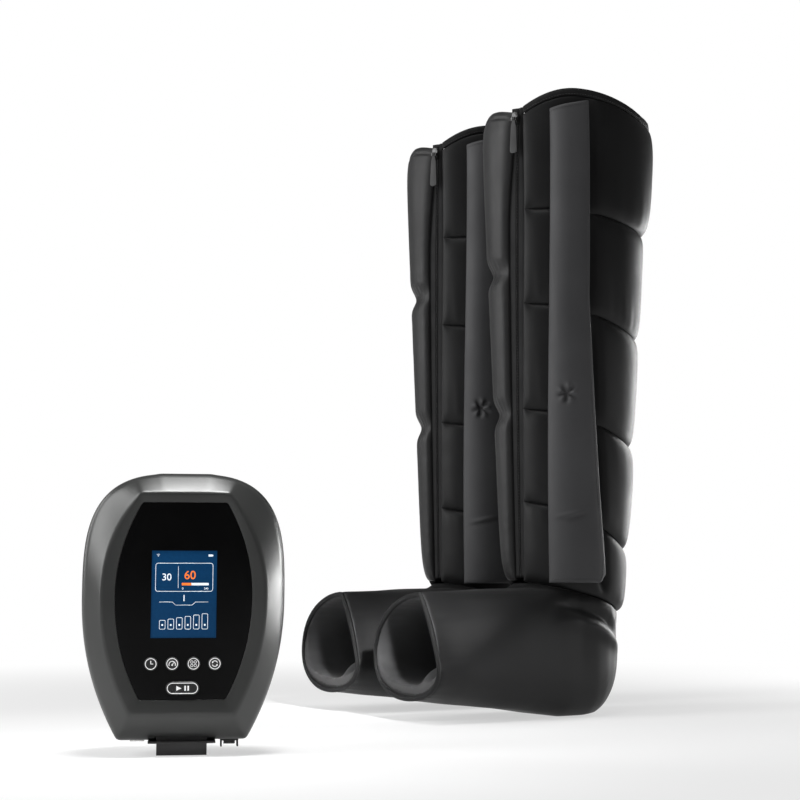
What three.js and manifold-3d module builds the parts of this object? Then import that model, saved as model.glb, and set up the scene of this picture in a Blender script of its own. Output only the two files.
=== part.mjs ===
// Air compression leg massager: a hand controller and two inflatable leg boots, standing on one floor.
// Millimetres, +Z up. The boots stand side by side with their toes towards -X, and the controller
// stands upright on its air socket ahead of them. The origin is the middle of the set, on the floor.
import * as THREE from "three";
import { mergeVertices } from "three/addons/utils/BufferGeometryUtils.js";
import Module from "manifold-3d";

const wasm = await Module();
wasm.setup();

// Fits
const GAP = 0.3; // between pieces that touch
const SLIDING_GAP = 0.4; // round a key, a rocker or a pin that moves
const OVERRUN = 1; // of a cutter past the face it opens, and of a fused piece into what carries it

// Leg of a boot: an ellipse that tapers steadily from the thigh to the ankle
const THIGH_HALF_LENGTH = 108;
const THIGH_HALF_WIDTH = 77;
const ANKLE_Z = 112;
const ANKLE_HALF_LENGTH = 67.5;
const ANKLE_HALF_WIDTH = 57;
const ANKLE_X = -15;

// Air chambers of the leg, from the ankle up. Each stands on a seam, a tilted plane, given by its slope
// along X, and swells out behind the leg by its calf bulge
const ANKLE_SEAM_Z = 127; // at X = 0
const CHAMBERS = [
  { name: "ankle", height: 85.7, seamSlope: -0.2735, calfBulge: 4.5 },
  { name: "calf", height: 114.2, seamSlope: -0.305, calfBulge: 6 },
  { name: "knee", height: 124.8, seamSlope: -0.178, calfBulge: 4.5 },
  { name: "thigh_lower", height: 118.8, seamSlope: -0.119, calfBulge: 4 },
  { name: "thigh_upper", height: 129.5, seamSlope: 0, calfBulge: 9 },
];
const SEAMS = [];
let nextSeamZ = ANKLE_SEAM_Z;
for (const { height, seamSlope } of CHAMBERS) {
  SEAMS.push({ height: nextSeamZ, slope: seamSlope });
  nextSeamZ += height;
}
const THIGH_Z = nextSeamZ;
const SIDE_BULGE = 3; // beside the zip and under the hose flap
const INNER_SIDE_BULGE = 2; // on the side that faces the other boot
const SEAM_THICKNESS = 8;
const CHAMBER_FILL = 14; // how far a chamber swells into the leg bore beyond its seams
const FULL_TURN = 360;
const WRAP_END = 322; // degrees round the leg, where the wrap meets the shin cushion
const CALF_RISE = { from: 103, to: 145 }; // degrees over which the calf bulge sets in
const CALF_FALL = { from: 205, to: 245 };
const SIDE_CHANGE = { from: 180, to: 240 }; // from the outer side's bulge to the inner side's

// Top rim of the wrap and its binding
const RIM_ZIP_Z = THIGH_Z - 14;
const RIM_PEAK_Z = THIGH_Z + 12;
const RIM_PEAK_ANGLE = 67;
const RIM_BACK_Z = THIGH_Z - 2;
const RIM_BACK_ANGLE = 127; // from here on round the back the rim is level
const BINDING_HEIGHT = 10;
const BINDING_OVERHANG = 1;

// Zip down the shin
const ZIP_TOP_ANGLE = 21.6;
const ZIP_BOTTOM_ANGLE = 3;
const ZIP_TOP_Z = RIM_ZIP_Z - 4;
const ZIP_BOTTOM_Z = ANKLE_SEAM_Z + 26;
const ZIP_TAPE_ANGLE = 6.4; // width of the tape, in degrees round the leg
const ZIP_TAPE_DEPTH = 4; // of its face below the leg's surface
const ZIP_TAPE_THICKNESS = 2.4;
const ZIP_TEETH_HEIGHT = 1;
const ZIP_TEETH_SHARE = 0.35;
const ZIP_TEETH_FLANK = 0.02;

// Zip slider and its pull tab
const SLIDER_Z = ZIP_TOP_Z - 5;
const SLIDER_LINE = 0.3; // share of the teeth's width that its middle runs along
const SLIDER_WIDTH = 7.4;
const SLIDER_WAIST = 4.8;
const SLIDER_LENGTH = 13;
const SLIDER_THICKNESS = 3;
const SLIDER_LIFT = 3.4; // of its underside above the teeth, so that a straight run clears the curved leg
const PULL_PIN_RADIUS = 0.8;
const PULL_PIN_UP = -2; // from the slider's middle
const PULL_CHEEK_LENGTH = 4;
const PULL_EYE_WALL = 1.1;
const PULL_WIDTH = 6.2;
const PULL_LENGTH = 38;
const PULL_TAPER = 8; // length over which the tongue widens below its eye
const PULL_THICKNESS = 1.8;

// Shin cushion between the wrap's far edge and the zip
const CUSHION_JOINT = 2; // degrees between the wrap's far edge and the cushion
const CUSHION_START = WRAP_END - FULL_TURN + CUSHION_JOINT;
const CUSHION_TOP_Z = RIM_ZIP_Z + 5;
const CUSHION_TOP_DOME = 8;
const CUSHION_CREST = 0.55; // share of its width where the domed top is highest
const CUSHION_CROWN = 7.5;
const CUSHION_DEPTH = 19; // into the leg bore
const CUSHION_EDGE_DEPTH = 3; // of its edges below the leg's surface
const CUSHION_NOTCHES = [0.35, 0.65]; // shares of its height
const CUSHION_NOTCH_DEPTH = 7;
const CUSHION_NOTCH_HALF = 26;

// Air tubes and their inlet under the flap
const TUBE_COUNT = 5;
const TUBE_DIAMETER = 5;
const TUBE_BORE = 2.6;
const TUBE_PITCH = TUBE_DIAMETER + 0.6;
const TUBE_WEB = 1.5; // between two tubes
const TUBES_START = 14; // from the flap's hinge edge
const BED_LIFT = SIDE_BULGE + GAP; // of the tubes' bed above the leg's surface, clear of the chambers
const INLET_HEIGHT = 30;
const INLET_THICKNESS = TUBE_DIAMETER + 0.4;
const INLET_MARGIN = 1.5; // beside the outer tubes
const INLET_BORE_DEPTH = 18;

// Hose flap down the side, over the tubes
const FLAP_LEFT_TOP_ANGLE = 46;
const FLAP_LEFT_BOTTOM_ANGLE = 48.5;
const FLAP_BOTTOM_Z = ANKLE_SEAM_Z + 20;
const FLAP_LEFT_TOP_Z = RIM_ZIP_Z - 2;
const FLAP_TOP_SLANT = 10;
const FLAP_MARGIN = 4; // past the last tube
const FLAP_WIDTH = TUBES_START + TUBE_COUNT * TUBE_PITCH + FLAP_MARGIN;
const FLAP_FOOT_WIDTH = FLAP_WIDTH + 20;
const FLAP_FLARE = 0.6; // share of its height below which it widens
const FLAP_THICKNESS = 3;
const FLAP_ROOM = 1.3; // between the inlet and the flap's underside
const FLAP_LIFT = BED_LIFT + INLET_THICKNESS + FLAP_ROOM; // of its underside above the leg's surface
const FLAP_EDGE_DROP = 0.8; // of its free edge
const FLAP_CORNER_ROUND = 9;
const TUBES_BOTTOM_Z = FLAP_BOTTOM_Z + 21;
const INLET_BOTTOM_Z = FLAP_LEFT_TOP_Z - INLET_HEIGHT - 14;

// Foot chamber
const FOOT_HALF_WIDTH = 66;
const HEEL_X = 51.4;
const HEEL_CENTRE_X = -18.6;
const TOE_X = -232;
const FOOT_TOP_Z = 143;
const TOE_TOP_Z = 137;
const FOOT_MIDDLE_Z = 68;
const HEEL_ROUND = 36;
const SOLE_FLAT_BACK_X = HEEL_X - HEEL_ROUND - 1.4;
const SOLE_FLAT_FRONT_X = -55;
const TOE_SPRING = 20;
const SOLE_FLATNESS = 1.08; // above 1, the underside is flat over part of its width
const SOLE_POWER = 3; // squareness of the section below its middle
const HEEL_POWER = 4.5; // and above it, over the heel and at the toes
const TOE_POWER = 1.9;
const TOE_DRAW = 3; // how far the mouth is drawn in by its binding
const TOE_WALL = 7;
const FOOT_WALL = 20;
const SOLE_THICKNESS = 19;
const TUNNEL_LIFT = 6; // of the tunnel's widest height above the foot's
const TUNNEL_HEEL_X = HEEL_X - FOOT_WALL + 0.6;
const TUNNEL_HEEL_RISE = 4;
const COLLAR_INSET = 3;
const COLLAR_BOTTOM_Z = FOOT_TOP_Z - 47;
const COLLAR_OVERRUN = 60; // above the ankle seam, before the seam cuts it
const FOOT_RING_POINTS = 20;
const TUNNEL_RING_POINTS = 16;
const TONGUE_RISE = 20; // of the inner pad in the outer lower corner of the toe mouth
const TONGUE_HALF_LENGTH = 46;
const TONGUE_HALF_WIDTH = 26;
const TONGUE_SINK = 5;

// Layout on the floor
const BOOT_CLEARANCE = 1; // between the near leg's inner side and the far flap
const FAR_BOOT_X = 5; // the far boot from the near one
const FAR_BOOT_Y = 2 * THIGH_HALF_WIDTH + INNER_SIDE_BULGE + FLAP_LIFT + FLAP_THICKNESS + BOOT_CLEARANCE;
const CONTROLLER_X = -571; // the controller from the near boot's leg
const CONTROLLER_Y = -166;
const CONTROLLER_TURN = -25.1; // degrees about Z

// Controller case. An oval is half as wide as it says at its widest height, and narrows from there.
// The outer bevel runs from the case's edge to the ridge, and the bezel from the ridge to the panel
const BEVEL = { foot: 22, crown: 18, side: 17.3 };
const BEZEL = { foot: 13.2, crown: 8.4, side: 11.9 };
const BACK_TAPER = { foot: 17.6, crown: 18, side: 18.8 };
const CASE = { bottom: 12.4, top: 240, widest: 136, half: 86.8, topHalf: 24, bottomHalf: 54.8 };
const RIDGE = {
  bottom: CASE.bottom + BEVEL.foot,
  top: CASE.top - BEVEL.crown,
  widest: CASE.widest,
  half: CASE.half - BEVEL.side,
  topHalf: 38,
  bottomHalf: 44,
};
const PANEL = {
  bottom: RIDGE.bottom + BEZEL.foot,
  top: RIDGE.top - BEZEL.crown,
  widest: CASE.widest,
  half: RIDGE.half - BEZEL.side,
  topHalf: 36,
  bottomHalf: 36,
};
const REAR = {
  bottom: CASE.bottom + BACK_TAPER.foot,
  top: CASE.top - BACK_TAPER.crown,
  widest: CASE.widest - 4,
  half: CASE.half - BACK_TAPER.side,
  topHalf: 36,
  bottomHalf: 46,
};
const CASE_TOP_ROUNDNESS = 3.1;
const OVAL_TOP_POWER = 2;
const OVAL_BOTTOM_POWER = 2.2;
const OVAL_STEPS = 10; // points up each side
const OVAL_CROWDING = 1.25; // above 1, more of them lie towards the bottom
const FRONT_RIM_DEPTH = 9; // straight edge in front of the parting plane
const FRONT_DEPTH = 27;
const PANEL_RECESS = 1.2; // of the bezel's inner edge behind the ridge
const REAR_RIM_DEPTH = 20;
const REAR_DEPTH = 48;
const REAR_EDGE = 8; // chamfer round the back face
const CASE_WALL = 3;

// Front panel, display and keys, from the panel's foot up
const PANEL_THICKNESS = 2;
const PANEL_LEDGE = 6;
const LEDGE_THICKNESS = 2;
const START_KEY_LENGTH = 28;
const START_KEY_HEIGHT = 11.1;
const START_KEY_Z = PANEL.bottom + 9.4;
const KEY_RADIUS = 5.6;
const KEY_PITCH = 17.9;
const KEY_ROW_Z = START_KEY_Z + 20.4;
const KEY_NAMES = ["key_timer", "key_pressure", "key_mode", "key_chambers"];
const KEY_PROUD = 0.9; // of a key's face before the panel
const KEY_FLANGE = 1.2; // wider than the key, behind the panel
const KEY_FLANGE_THICKNESS = 1;
const KEY_STEM_RADIUS = 1.6;
const KEY_TRAVEL = 0.8;
const LCD_HALF_WIDTH = 27.3;
const LCD_HEIGHT = 73.2;
const LCD_BOTTOM_Z = KEY_ROW_Z + 21.8;
const LCD_BEZEL = 3;
const LCD_THICKNESS = 6;
const LCD_SINK = 0.5; // of the glass behind the panel's face

// Control board behind the panel
const BOARD_HALF_WIDTH = PANEL.half - 6.6;
const BOARD_BOTTOM_Z = KEY_ROW_Z - 11.4;
const BOARD_TOP_Z = LCD_BOTTOM_Z + LCD_HEIGHT + 7.6;
const BOARD_THICKNESS = 1.6;
const BOARD_TAB_HALF_WIDTH = 26; // of the tongue behind the start key
const BOARD_TAB_BOTTOM_Z = START_KEY_Z - 8;
const BOARD_POST_RADIUS = 2.5;
const BOARD_POST_INSET = 8; // from the board's ends
const SWITCH_RADIUS = 3;
const SWITCH_HEIGHT = 1.5;

// Battery, valves, pump and motor, on shelves of the rear shell from the bottom up
const SHELF_THICKNESS = 2.5;
const SHELF_FRONT_Y = 3;
const SHELF_SPARE = 6; // depth that what stands on a shelf leaves free
const SHELF_LOAD_DEPTH = REAR_DEPTH - CASE_WALL - SHELF_FRONT_Y - SHELF_SPARE;
const BATTERY_LENGTH = 74;
const BATTERY_HEIGHT = 20;
const BATTERY_WRAP_INSET = 2; // at each end of the cells
const BATTERY_BOTTOM_Z = CASE.bottom + 19.6;
const BATTERY_Y = SHELF_FRONT_Y + SHELF_LOAD_DEPTH / 2;
const VALVE_COUNT = 6;
const VALVE_PITCH = 14;
const VALVE_RADIUS = 5.4;
const VALVE_HEIGHT = 17;
const VALVE_TIP_RADIUS = 2.7;
const VALVE_TIP_HEIGHT = 3;
const MANIFOLD_LENGTH = VALVE_COUNT * VALVE_PITCH + 4;
const MANIFOLD_DEPTH = 18;
const MANIFOLD_HEIGHT = 13;
const MANIFOLD_BOTTOM_Z = BATTERY_BOTTOM_Z + BATTERY_HEIGHT + 10;
const MANIFOLD_Y = 24;
const MANIFOLD_NOZZLE_LENGTH = 5;
const PUMP_X = -22;
const PUMP_Y = SHELF_FRONT_Y + 2 + SHELF_LOAD_DEPTH / 2;
const PUMP_WIDTH = 46;
const PUMP_HEIGHT = 42;
const PUMP_HEAD_RADIUS = 14.4;
const PUMP_HEAD_HEIGHT = 9;
const PUMP_BOTTOM_Z = MANIFOLD_BOTTOM_Z + MANIFOLD_HEIGHT + VALVE_HEIGHT + 20;
const PUMP_SHELF_HALF_LENGTH = 50;
const MOTOR_RADIUS = 14;
const MOTOR_LENGTH = 44;
const MOTOR_CHAMFER = { length: 3, depth: 2 };
const MOTOR_BEARING = { length: 2, radius: 4 };
const HOSE_DIAMETER = 6;
const HOSE_STEPS = 14;
const HOSE_STRAIGHT = 6; // at each end
const HOSE_BOW = 20; // past the manifold's end
const HOSE_RISE = 10; // above the pump's underside

// Air socket under the case, which the controller stands on
const SOCKET_WIDTH = 42.5;
const SOCKET_DEPTH = 40;
const SOCKET_Y = 9;
const SOCKET_WALL = 4.2;
const SOCKET_FLOOR_Z = CASE.bottom + 2.6;
const SOCKET_INNER_Z = CASE.bottom + 7.6;
const SOCKET_FLANGE_WIDTH = SOCKET_WIDTH + 14.5;
const SOCKET_FLANGE_DEPTH = SOCKET_DEPTH + 7;
const SOCKET_FLANGE_THICKNESS = 2;
const NOZZLE_RADIUS = 2.5;
const NOZZLE_LENGTH = 8.8;
const NOZZLE_PITCH = 11;

// Power rocker and charging jack, either side of the air socket
const ROCKER_WIDTH = 9.8;
const ROCKER_LENGTH = 15;
const ROCKER_HEIGHT = 9;
const ROCKER_DROP = 5.1; // of its tips below the case
const ROCKER_DISH = 3;
const ROCKER_END_TAPER = { tip: 0.8, top: 1.5 };
const ROCKER_ANGLE = 7; // degrees each way, and the rocker rests tilted one way
const ROCKER_FRAME_WIDTH = 15.4;
const ROCKER_FRAME_LENGTH = 21;
const ROCKER_FRAME_THICKNESS = 1.2;
const ROCKER_GUARD_THICKNESS = 1.4;
const ROCKER_GUARD_DROP = 6.8;
const ROCKER_X = SOCKET_FLANGE_WIDTH / 2 + 4.5 + ROCKER_FRAME_WIDTH / 2;
const ROCKER_TIP_Z = CASE.bottom - ROCKER_DROP;
const JACK_WIDTH = 12.3;
const JACK_LIP = 1.5;
const JACK_DROP = 1.6;
const JACK_HEIGHT = 13;
const JACK_BORE_RADIUS = 3.2;
const JACK_BORE_DEPTH = 10;
const JACK_PIN_RADIUS = 1;
const JACK_X = -SOCKET_FLANGE_WIDTH / 2 - 3.15 - JACK_WIDTH / 2;

// Case screws and rear feet
const LOWER_SCREWS = { x: CASE.bottomHalf - 0.8, z: CASE.bottom + 32.6 };
const UPPER_SCREWS = { x: CASE.half - 28.8, z: CASE.top - 44 };
const SCREW_PLACES = [LOWER_SCREWS, UPPER_SCREWS].flatMap(({ x, z }) => [
  { x, z },
  { x: -x, z },
]);
const SCREW_RADIUS = 1.5;
const SCREW_HEAD_RADIUS = 3.2;
const SCREW_HEAD_HEIGHT = 2.4;
const SCREW_BOSS_RADIUS = 4.6;
const SCREW_BITE = 10; // into the front shell's boss
const SCREW_SEAT_Y = 14; // of the head's underside behind the parting plane
const FOOT_STRIP_LENGTH = 70;
const FOOT_STRIP_WIDTH = 9;
const FOOT_STRIP_THICKNESS = 2.2;
const FOOT_STRIP_SEAT = 1.2; // depth of its groove
const FOOT_STRIP_HEIGHTS = { rear_foot_lower: REAR.bottom + 30, rear_foot_upper: REAR.top - 26 };

// Finishes
const finish = (color, roughness, metalness = 0) =>
  new THREE.MeshStandardMaterial({ color, roughness, metalness });
const NYLON = () => finish(0x242425, 0.6);
const FLAP_NYLON = () => finish(0x3a3a3c, 0.62);
const BINDING_TAPE = () => finish(0x1e1e20, 0.75);
const ZIP_TAPE = () => finish(0x2a2a2c, 0.8);
const ZIP_METAL = () => finish(0x9a9a9a, 0.3, 1);
const RUBBER = () => finish(0x161616, 0.85);
const GREY_CASE = () => finish(0x3b3c3a, 0.42);
const BLACK_PANEL = () => finish(0x0c0c0d, 0.15);
const DISPLAY = () => finish(0x0a2c4a, 0.2);
const KEY_PLASTIC = () => finish(0x17171a, 0.35);
const BOARD_GREEN = () => finish(0x1f5a34, 0.6);
const GREY_PLASTIC = () => finish(0x6a6c6e, 0.5);
const STEEL = () => finish(0xb4b6b8, 0.35, 1);
const CLEAR_TUBE = () => finish(0xd8dcdc, 0.3);

const radians = THREE.MathUtils.degToRad;
const mix = THREE.MathUtils.lerp;
const smooth = (low, high, value) => THREE.MathUtils.smoothstep(value, low, high);

function mesh(name, geometry, material) {
  const piece = new THREE.Mesh(geometry, material);
  piece.name = name;
  return piece;
}

// Closed surface from points and triangles, turned to face outwards.
function closedGeometry(points, triangles) {
  let volume = 0;
  for (const [i, j, k] of triangles) {
    volume += points[i].dot(points[j].clone().cross(points[k]));
  }
  const facing = volume > 0 ? triangles : triangles.map(([i, j, k]) => [i, k, j]);
  const geometry = new THREE.BufferGeometry().setFromPoints(points);
  geometry.setIndex(facing.flat());
  return geometry;
}

// Solid between two faces that share their parameters u and v, joined all round by their edges.
function panelSolid(us, vs, outer, inner) {
  const points = [];
  for (const face of [outer, inner]) {
    for (const v of vs) {
      for (const u of us) points.push(face(u, v));
    }
  }
  const columns = us.length;
  const rows = vs.length;
  const at = (face, row, column) => (face * rows + row) * columns + column;
  const triangles = [];
  const quad = (a, b, c, d) => triangles.push([a, b, c], [a, c, d]);
  for (let row = 0; row + 1 < rows; row++) {
    for (let column = 0; column + 1 < columns; column++) {
      quad(at(0, row, column), at(0, row, column + 1), at(0, row + 1, column + 1), at(0, row + 1, column));
      quad(at(1, row, column), at(1, row + 1, column), at(1, row + 1, column + 1), at(1, row, column + 1));
    }
  }
  const edge = [];
  for (let column = 0; column < columns; column++) edge.push([0, column]);
  for (let row = 1; row < rows; row++) edge.push([row, columns - 1]);
  for (let column = columns - 2; column >= 0; column--) edge.push([rows - 1, column]);
  for (let row = rows - 2; row > 0; row--) edge.push([row, 0]);
  edge.forEach(([row, column], i) => {
    const [nextRow, nextColumn] = edge[(i + 1) % edge.length];
    quad(at(0, nextRow, nextColumn), at(0, row, column), at(1, row, column), at(1, nextRow, nextColumn));
  });
  return closedGeometry(points, triangles);
}

// Solid through rings of equally many points, with a fan across each end.
function loftSolid(rings) {
  const points = rings.flat();
  const count = rings[0].length;
  const triangles = [];
  for (let ring = 0; ring + 1 < rings.length; ring++) {
    for (let i = 0; i < count; i++) {
      const a = ring * count + i;
      const b = ring * count + ((i + 1) % count);
      triangles.push([a, b, b + count], [a, b + count, a + count]);
    }
  }
  for (const [ring, turned] of [[0, true], [rings.length - 1, false]]) {
    const middle = new THREE.Vector3();
    for (const point of rings[ring]) middle.addScaledVector(point, 1 / count);
    const centre = points.push(middle) - 1;
    for (let i = 0; i < count; i++) {
      const a = ring * count + i;
      const b = ring * count + ((i + 1) % count);
      triangles.push(turned ? [centre, b, a] : [centre, a, b]);
    }
  }
  return closedGeometry(points, triangles);
}

// Boolean solids
function solid(geometry) {
  const bare = geometry.clone();
  bare.deleteAttribute("normal");
  bare.deleteAttribute("uv");
  const merged = mergeVertices(bare, 1e-4);
  return new wasm.Manifold(
    new wasm.Mesh({
      numProp: 3,
      vertProperties: new Float32Array(merged.attributes.position.array),
      triVerts: new Uint32Array(merged.index.array),
    }),
  );
}

function geometryOf(body) {
  const made = body.getMesh();
  const geometry = new THREE.BufferGeometry();
  geometry.setAttribute("position", new THREE.BufferAttribute(new Float32Array(made.vertProperties), 3));
  geometry.setIndex(Array.from(made.triVerts));
  return geometry;
}

const joined = (...geometries) => geometries.map(solid).reduce((whole, next) => whole.add(next));

function box(width, depth, height, x, y, bottom) {
  return new THREE.BoxGeometry(width, depth, height).translate(x, y, bottom + height / 2);
}

// Round bar along Y from its front end to its back end.
function barAlongY(radius, x, z, front, back, sides = 16) {
  const bar = new THREE.CylinderGeometry(radius, radius, back - front, sides);
  return bar.translate(x, (front + back) / 2, z);
}

function barUp(radius, x, y, bottom, top, sides = 16) {
  const bar = new THREE.CylinderGeometry(radius, radius, top - bottom, sides).rotateX(Math.PI / 2);
  return bar.translate(x, y, (bottom + top) / 2);
}

// Leg of a boot. The angle runs round the leg from the shin (0) by the outer side (90) to the calf (180)
function legSection(z) {
  const share = (z - ANKLE_Z) / (THIGH_Z - ANKLE_Z);
  return {
    halfLength: mix(ANKLE_HALF_LENGTH, THIGH_HALF_LENGTH, share),
    halfWidth: mix(ANKLE_HALF_WIDTH, THIGH_HALF_WIDTH, share),
    x: mix(ANKLE_X, 0, share),
  };
}

function legPoint(angle, z, offset) {
  const { halfLength, halfWidth, x } = legSection(z);
  const cos = Math.cos(radians(angle));
  const sin = Math.sin(radians(angle));
  const normal = new THREE.Vector2(-halfWidth * cos, -halfLength * sin).normalize();
  return new THREE.Vector3(
    x - halfLength * cos + normal.x * offset,
    -halfWidth * sin + normal.y * offset,
    z,
  );
}

const legNormal = (angle, z) => legPoint(angle, z, 1).sub(legPoint(angle, z, 0));

// Degrees round the leg that a width takes up, near the outer side.
const degreesFor = (width, z) => THREE.MathUtils.radToDeg(width / (0.97 * legSection(z).halfLength));

const heightShare = (z) => (z - ZIP_BOTTOM_Z) / (THIGH_Z - ZIP_BOTTOM_Z);
const zipAngle = (z) => mix(ZIP_BOTTOM_ANGLE, ZIP_TOP_ANGLE, heightShare(z));
const wrapStart = (z) => zipAngle(z) + ZIP_TAPE_ANGLE;
const flapLeft = (z) => mix(FLAP_LEFT_BOTTOM_ANGLE, FLAP_LEFT_TOP_ANGLE, heightShare(z));

function seamHeight({ height, slope }, angle) {
  const { halfLength, x } = legSection(height);
  return height + slope * (x - halfLength * Math.cos(radians(angle)));
}

function rimHeight(angle) {
  const turn = THREE.MathUtils.clamp(angle, ZIP_TOP_ANGLE, RIM_BACK_ANGLE) - RIM_PEAK_ANGLE;
  const low = turn < 0 ? RIM_ZIP_Z : RIM_BACK_Z;
  const span = turn < 0 ? RIM_PEAK_ANGLE - ZIP_TOP_ANGLE : RIM_BACK_ANGLE - RIM_PEAK_ANGLE;
  return mix(low, RIM_PEAK_Z, Math.cos((turn / span) * (Math.PI / 2)) ** 2);
}

// Even steps from 0 to 1, with one more near each end to hold a rounded edge.
function steps(count, edge) {
  const list = [0, edge];
  for (let i = 1; i < count; i++) list.push(mix(edge, 1 - edge, i / count));
  list.push(1 - edge, 1);
  return list;
}

const CUSHION_BOTTOM_Z = seamHeight(SEAMS[0], 0) + GAP;
const WRAP_COLUMNS = steps(15, 0.015); // across the wrap, shared by what is sewn together there

// Crown of an inflated panel: 0 at its edges, and nearly 1 over most of its width.
const crown = (share, power) => (1 - Math.abs(2 * share - 1) ** power) ** (1 / 2);

function chamberBulge(angle, calfBulge) {
  const rise = smooth(CALF_RISE.from, CALF_RISE.to, angle);
  const calf = rise * (1 - smooth(CALF_FALL.from, CALF_FALL.to, angle));
  const side = mix(SIDE_BULGE, INNER_SIDE_BULGE, smooth(SIDE_CHANGE.from, SIDE_CHANGE.to, angle));
  return mix(side, calfBulge, calf);
}

// Place of an edge across the wrap, where its height depends on the angle and its angle on the height.
function wrapEdge(u, startZ, heightAt) {
  let z = startZ;
  let angle = 0;
  for (let turn = 0; turn < 6; turn++) {
    angle = mix(wrapStart(z) + GAP, WRAP_END, u);
    z = heightAt(angle);
  }
  return { angle, z };
}

const seamEdge = (seam, u) => wrapEdge(u, seam.height, (angle) => seamHeight(seam, angle));
const rimEdge = (u, drop) => wrapEdge(u, RIM_ZIP_Z, (angle) => rimHeight(angle) - drop);

function legChamber(index) {
  const lowSeam = SEAMS[index];
  const topmost = index === SEAMS.length - 1;
  const highSeam = topmost ? { height: THIGH_Z, slope: 0 } : SEAMS[index + 1];
  const place = (u, v, offset) => {
    const low = seamEdge(lowSeam, u);
    const high = topmost ? rimEdge(u, BINDING_HEIGHT + 3 * GAP) : seamEdge(highSeam, u);
    const angle = mix(low.angle, high.angle, v);
    const z = mix(low.z + GAP / 2, high.z - GAP / 2, v);
    const point = legPoint(angle, z, offset(angle));
    point.z += mix(lowSeam.slope, highSeam.slope, v) * (point.x - legPoint(angle, z, 0).x);
    return point;
  };
  const swell = (u, v) => crown(u, 12) * crown(v, 4);
  return panelSolid(
    WRAP_COLUMNS,
    steps(3, 0.07),
    (u, v) => place(u, v, (angle) => swell(u, v) * chamberBulge(angle, CHAMBERS[index].calfBulge)),
    (u, v) => place(u, v, () => -SEAM_THICKNESS - swell(u, v) * CHAMBER_FILL),
  );
}

function topBinding() {
  const face = (offset) => (u, v) => {
    const { angle, z } = rimEdge(u, BINDING_HEIGHT * (1 - v));
    return legPoint(angle, z, offset);
  };
  return panelSolid(WRAP_COLUMNS, [0, 1], face(BINDING_OVERHANG), face(-SEAM_THICKNESS - BINDING_OVERHANG));
}

function shinCushion() {
  const notchAt = (z, at) => (1 - smooth(0, CUSHION_NOTCH_HALF, Math.abs(z - at))) ** 2;
  const notch = (z) =>
    CUSHION_NOTCHES.reduce(
      (deepest, share) => Math.max(deepest, notchAt(z, mix(CUSHION_BOTTOM_Z, CUSHION_TOP_Z, share))),
      0,
    );
  const heights = [0, ...CUSHION_NOTCHES, 1].map((share) => mix(CUSHION_BOTTOM_Z, CUSHION_TOP_Z, share));
  const rows = [];
  heights.slice(1).forEach((high, i) => {
    const shares = [0, 0.12, 0.5, 0.88];
    rows.push(...shares.map((share) => mix(heights[i], high, share)));
  });
  rows.push(CUSHION_TOP_Z);
  const place = (u, z, offset) => {
    const angle = mix(CUSHION_START, zipAngle(z) - GAP * 2, u);
    const dome = 1 - smooth(0.2, 0.5, Math.abs(u - CUSHION_CREST));
    const lift = z === CUSHION_TOP_Z ? mix(-CUSHION_TOP_DOME, 0, dome) : 0;
    return legPoint(angle, z + lift, offset);
  };
  const ends = (z) => crown((z - CUSHION_BOTTOM_Z) / (CUSHION_TOP_Z - CUSHION_BOTTOM_Z), 14);
  const outer = (u, z) => {
    const swell = crown(u, 2.4) * ends(z);
    const crest = (CUSHION_CROWN + CUSHION_EDGE_DEPTH) * swell;
    return place(u, z, crest - CUSHION_EDGE_DEPTH - CUSHION_NOTCH_DEPTH * notch(z) * swell);
  };
  const inner = (u, z) => place(u, z, mix(-SEAM_THICKNESS, -CUSHION_DEPTH, crown(u, 4) * ends(z)));
  return panelSolid(steps(7, 0.04), rows, outer, inner);
}

function zipTrack() {
  const face = (depth, teeth) => (u, z) => {
    const angle = mix(zipAngle(z), zipAngle(z) + ZIP_TAPE_ANGLE - GAP, u);
    return legPoint(angle, z, -depth + (teeth && u < ZIP_TEETH_SHARE ? ZIP_TEETH_HEIGHT : 0));
  };
  return panelSolid(
    [0, ZIP_TEETH_SHARE - ZIP_TEETH_FLANK, ZIP_TEETH_SHARE, 1],
    [0, 1, 2, 3, 4].map((i) => mix(ZIP_BOTTOM_Z, ZIP_TOP_Z, i / 4)),
    face(ZIP_TAPE_DEPTH, true),
    face(ZIP_TAPE_DEPTH + ZIP_TAPE_THICKNESS, false),
  );
}

// Frame of the slider's run: origin on the teeth at a height, Z up the zip and Y out of the leg.
function zipFrame() {
  const middle = ZIP_TAPE_ANGLE * ZIP_TEETH_SHARE * SLIDER_LINE;
  const depth = ZIP_TEETH_HEIGHT - ZIP_TAPE_DEPTH;
  const low = legPoint(zipAngle(ZIP_BOTTOM_Z) + middle, ZIP_BOTTOM_Z, depth);
  const high = legPoint(zipAngle(SLIDER_Z) + middle, SLIDER_Z, depth);
  const along = high.clone().sub(low).normalize();
  const out = legNormal(zipAngle(SLIDER_Z) + middle, SLIDER_Z);
  const across = out.clone().cross(along).normalize();
  const outward = along.clone().cross(across).normalize();
  const turn = new THREE.Matrix4().makeBasis(across, outward, along);
  return { low, high, along, turn };
}

const SLIDER_FACE = SLIDER_LIFT + SLIDER_THICKNESS;
const PULL_PIN_OUT = SLIDER_FACE + PULL_PIN_RADIUS + PULL_EYE_WALL + SLIDING_GAP * 2;

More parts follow.
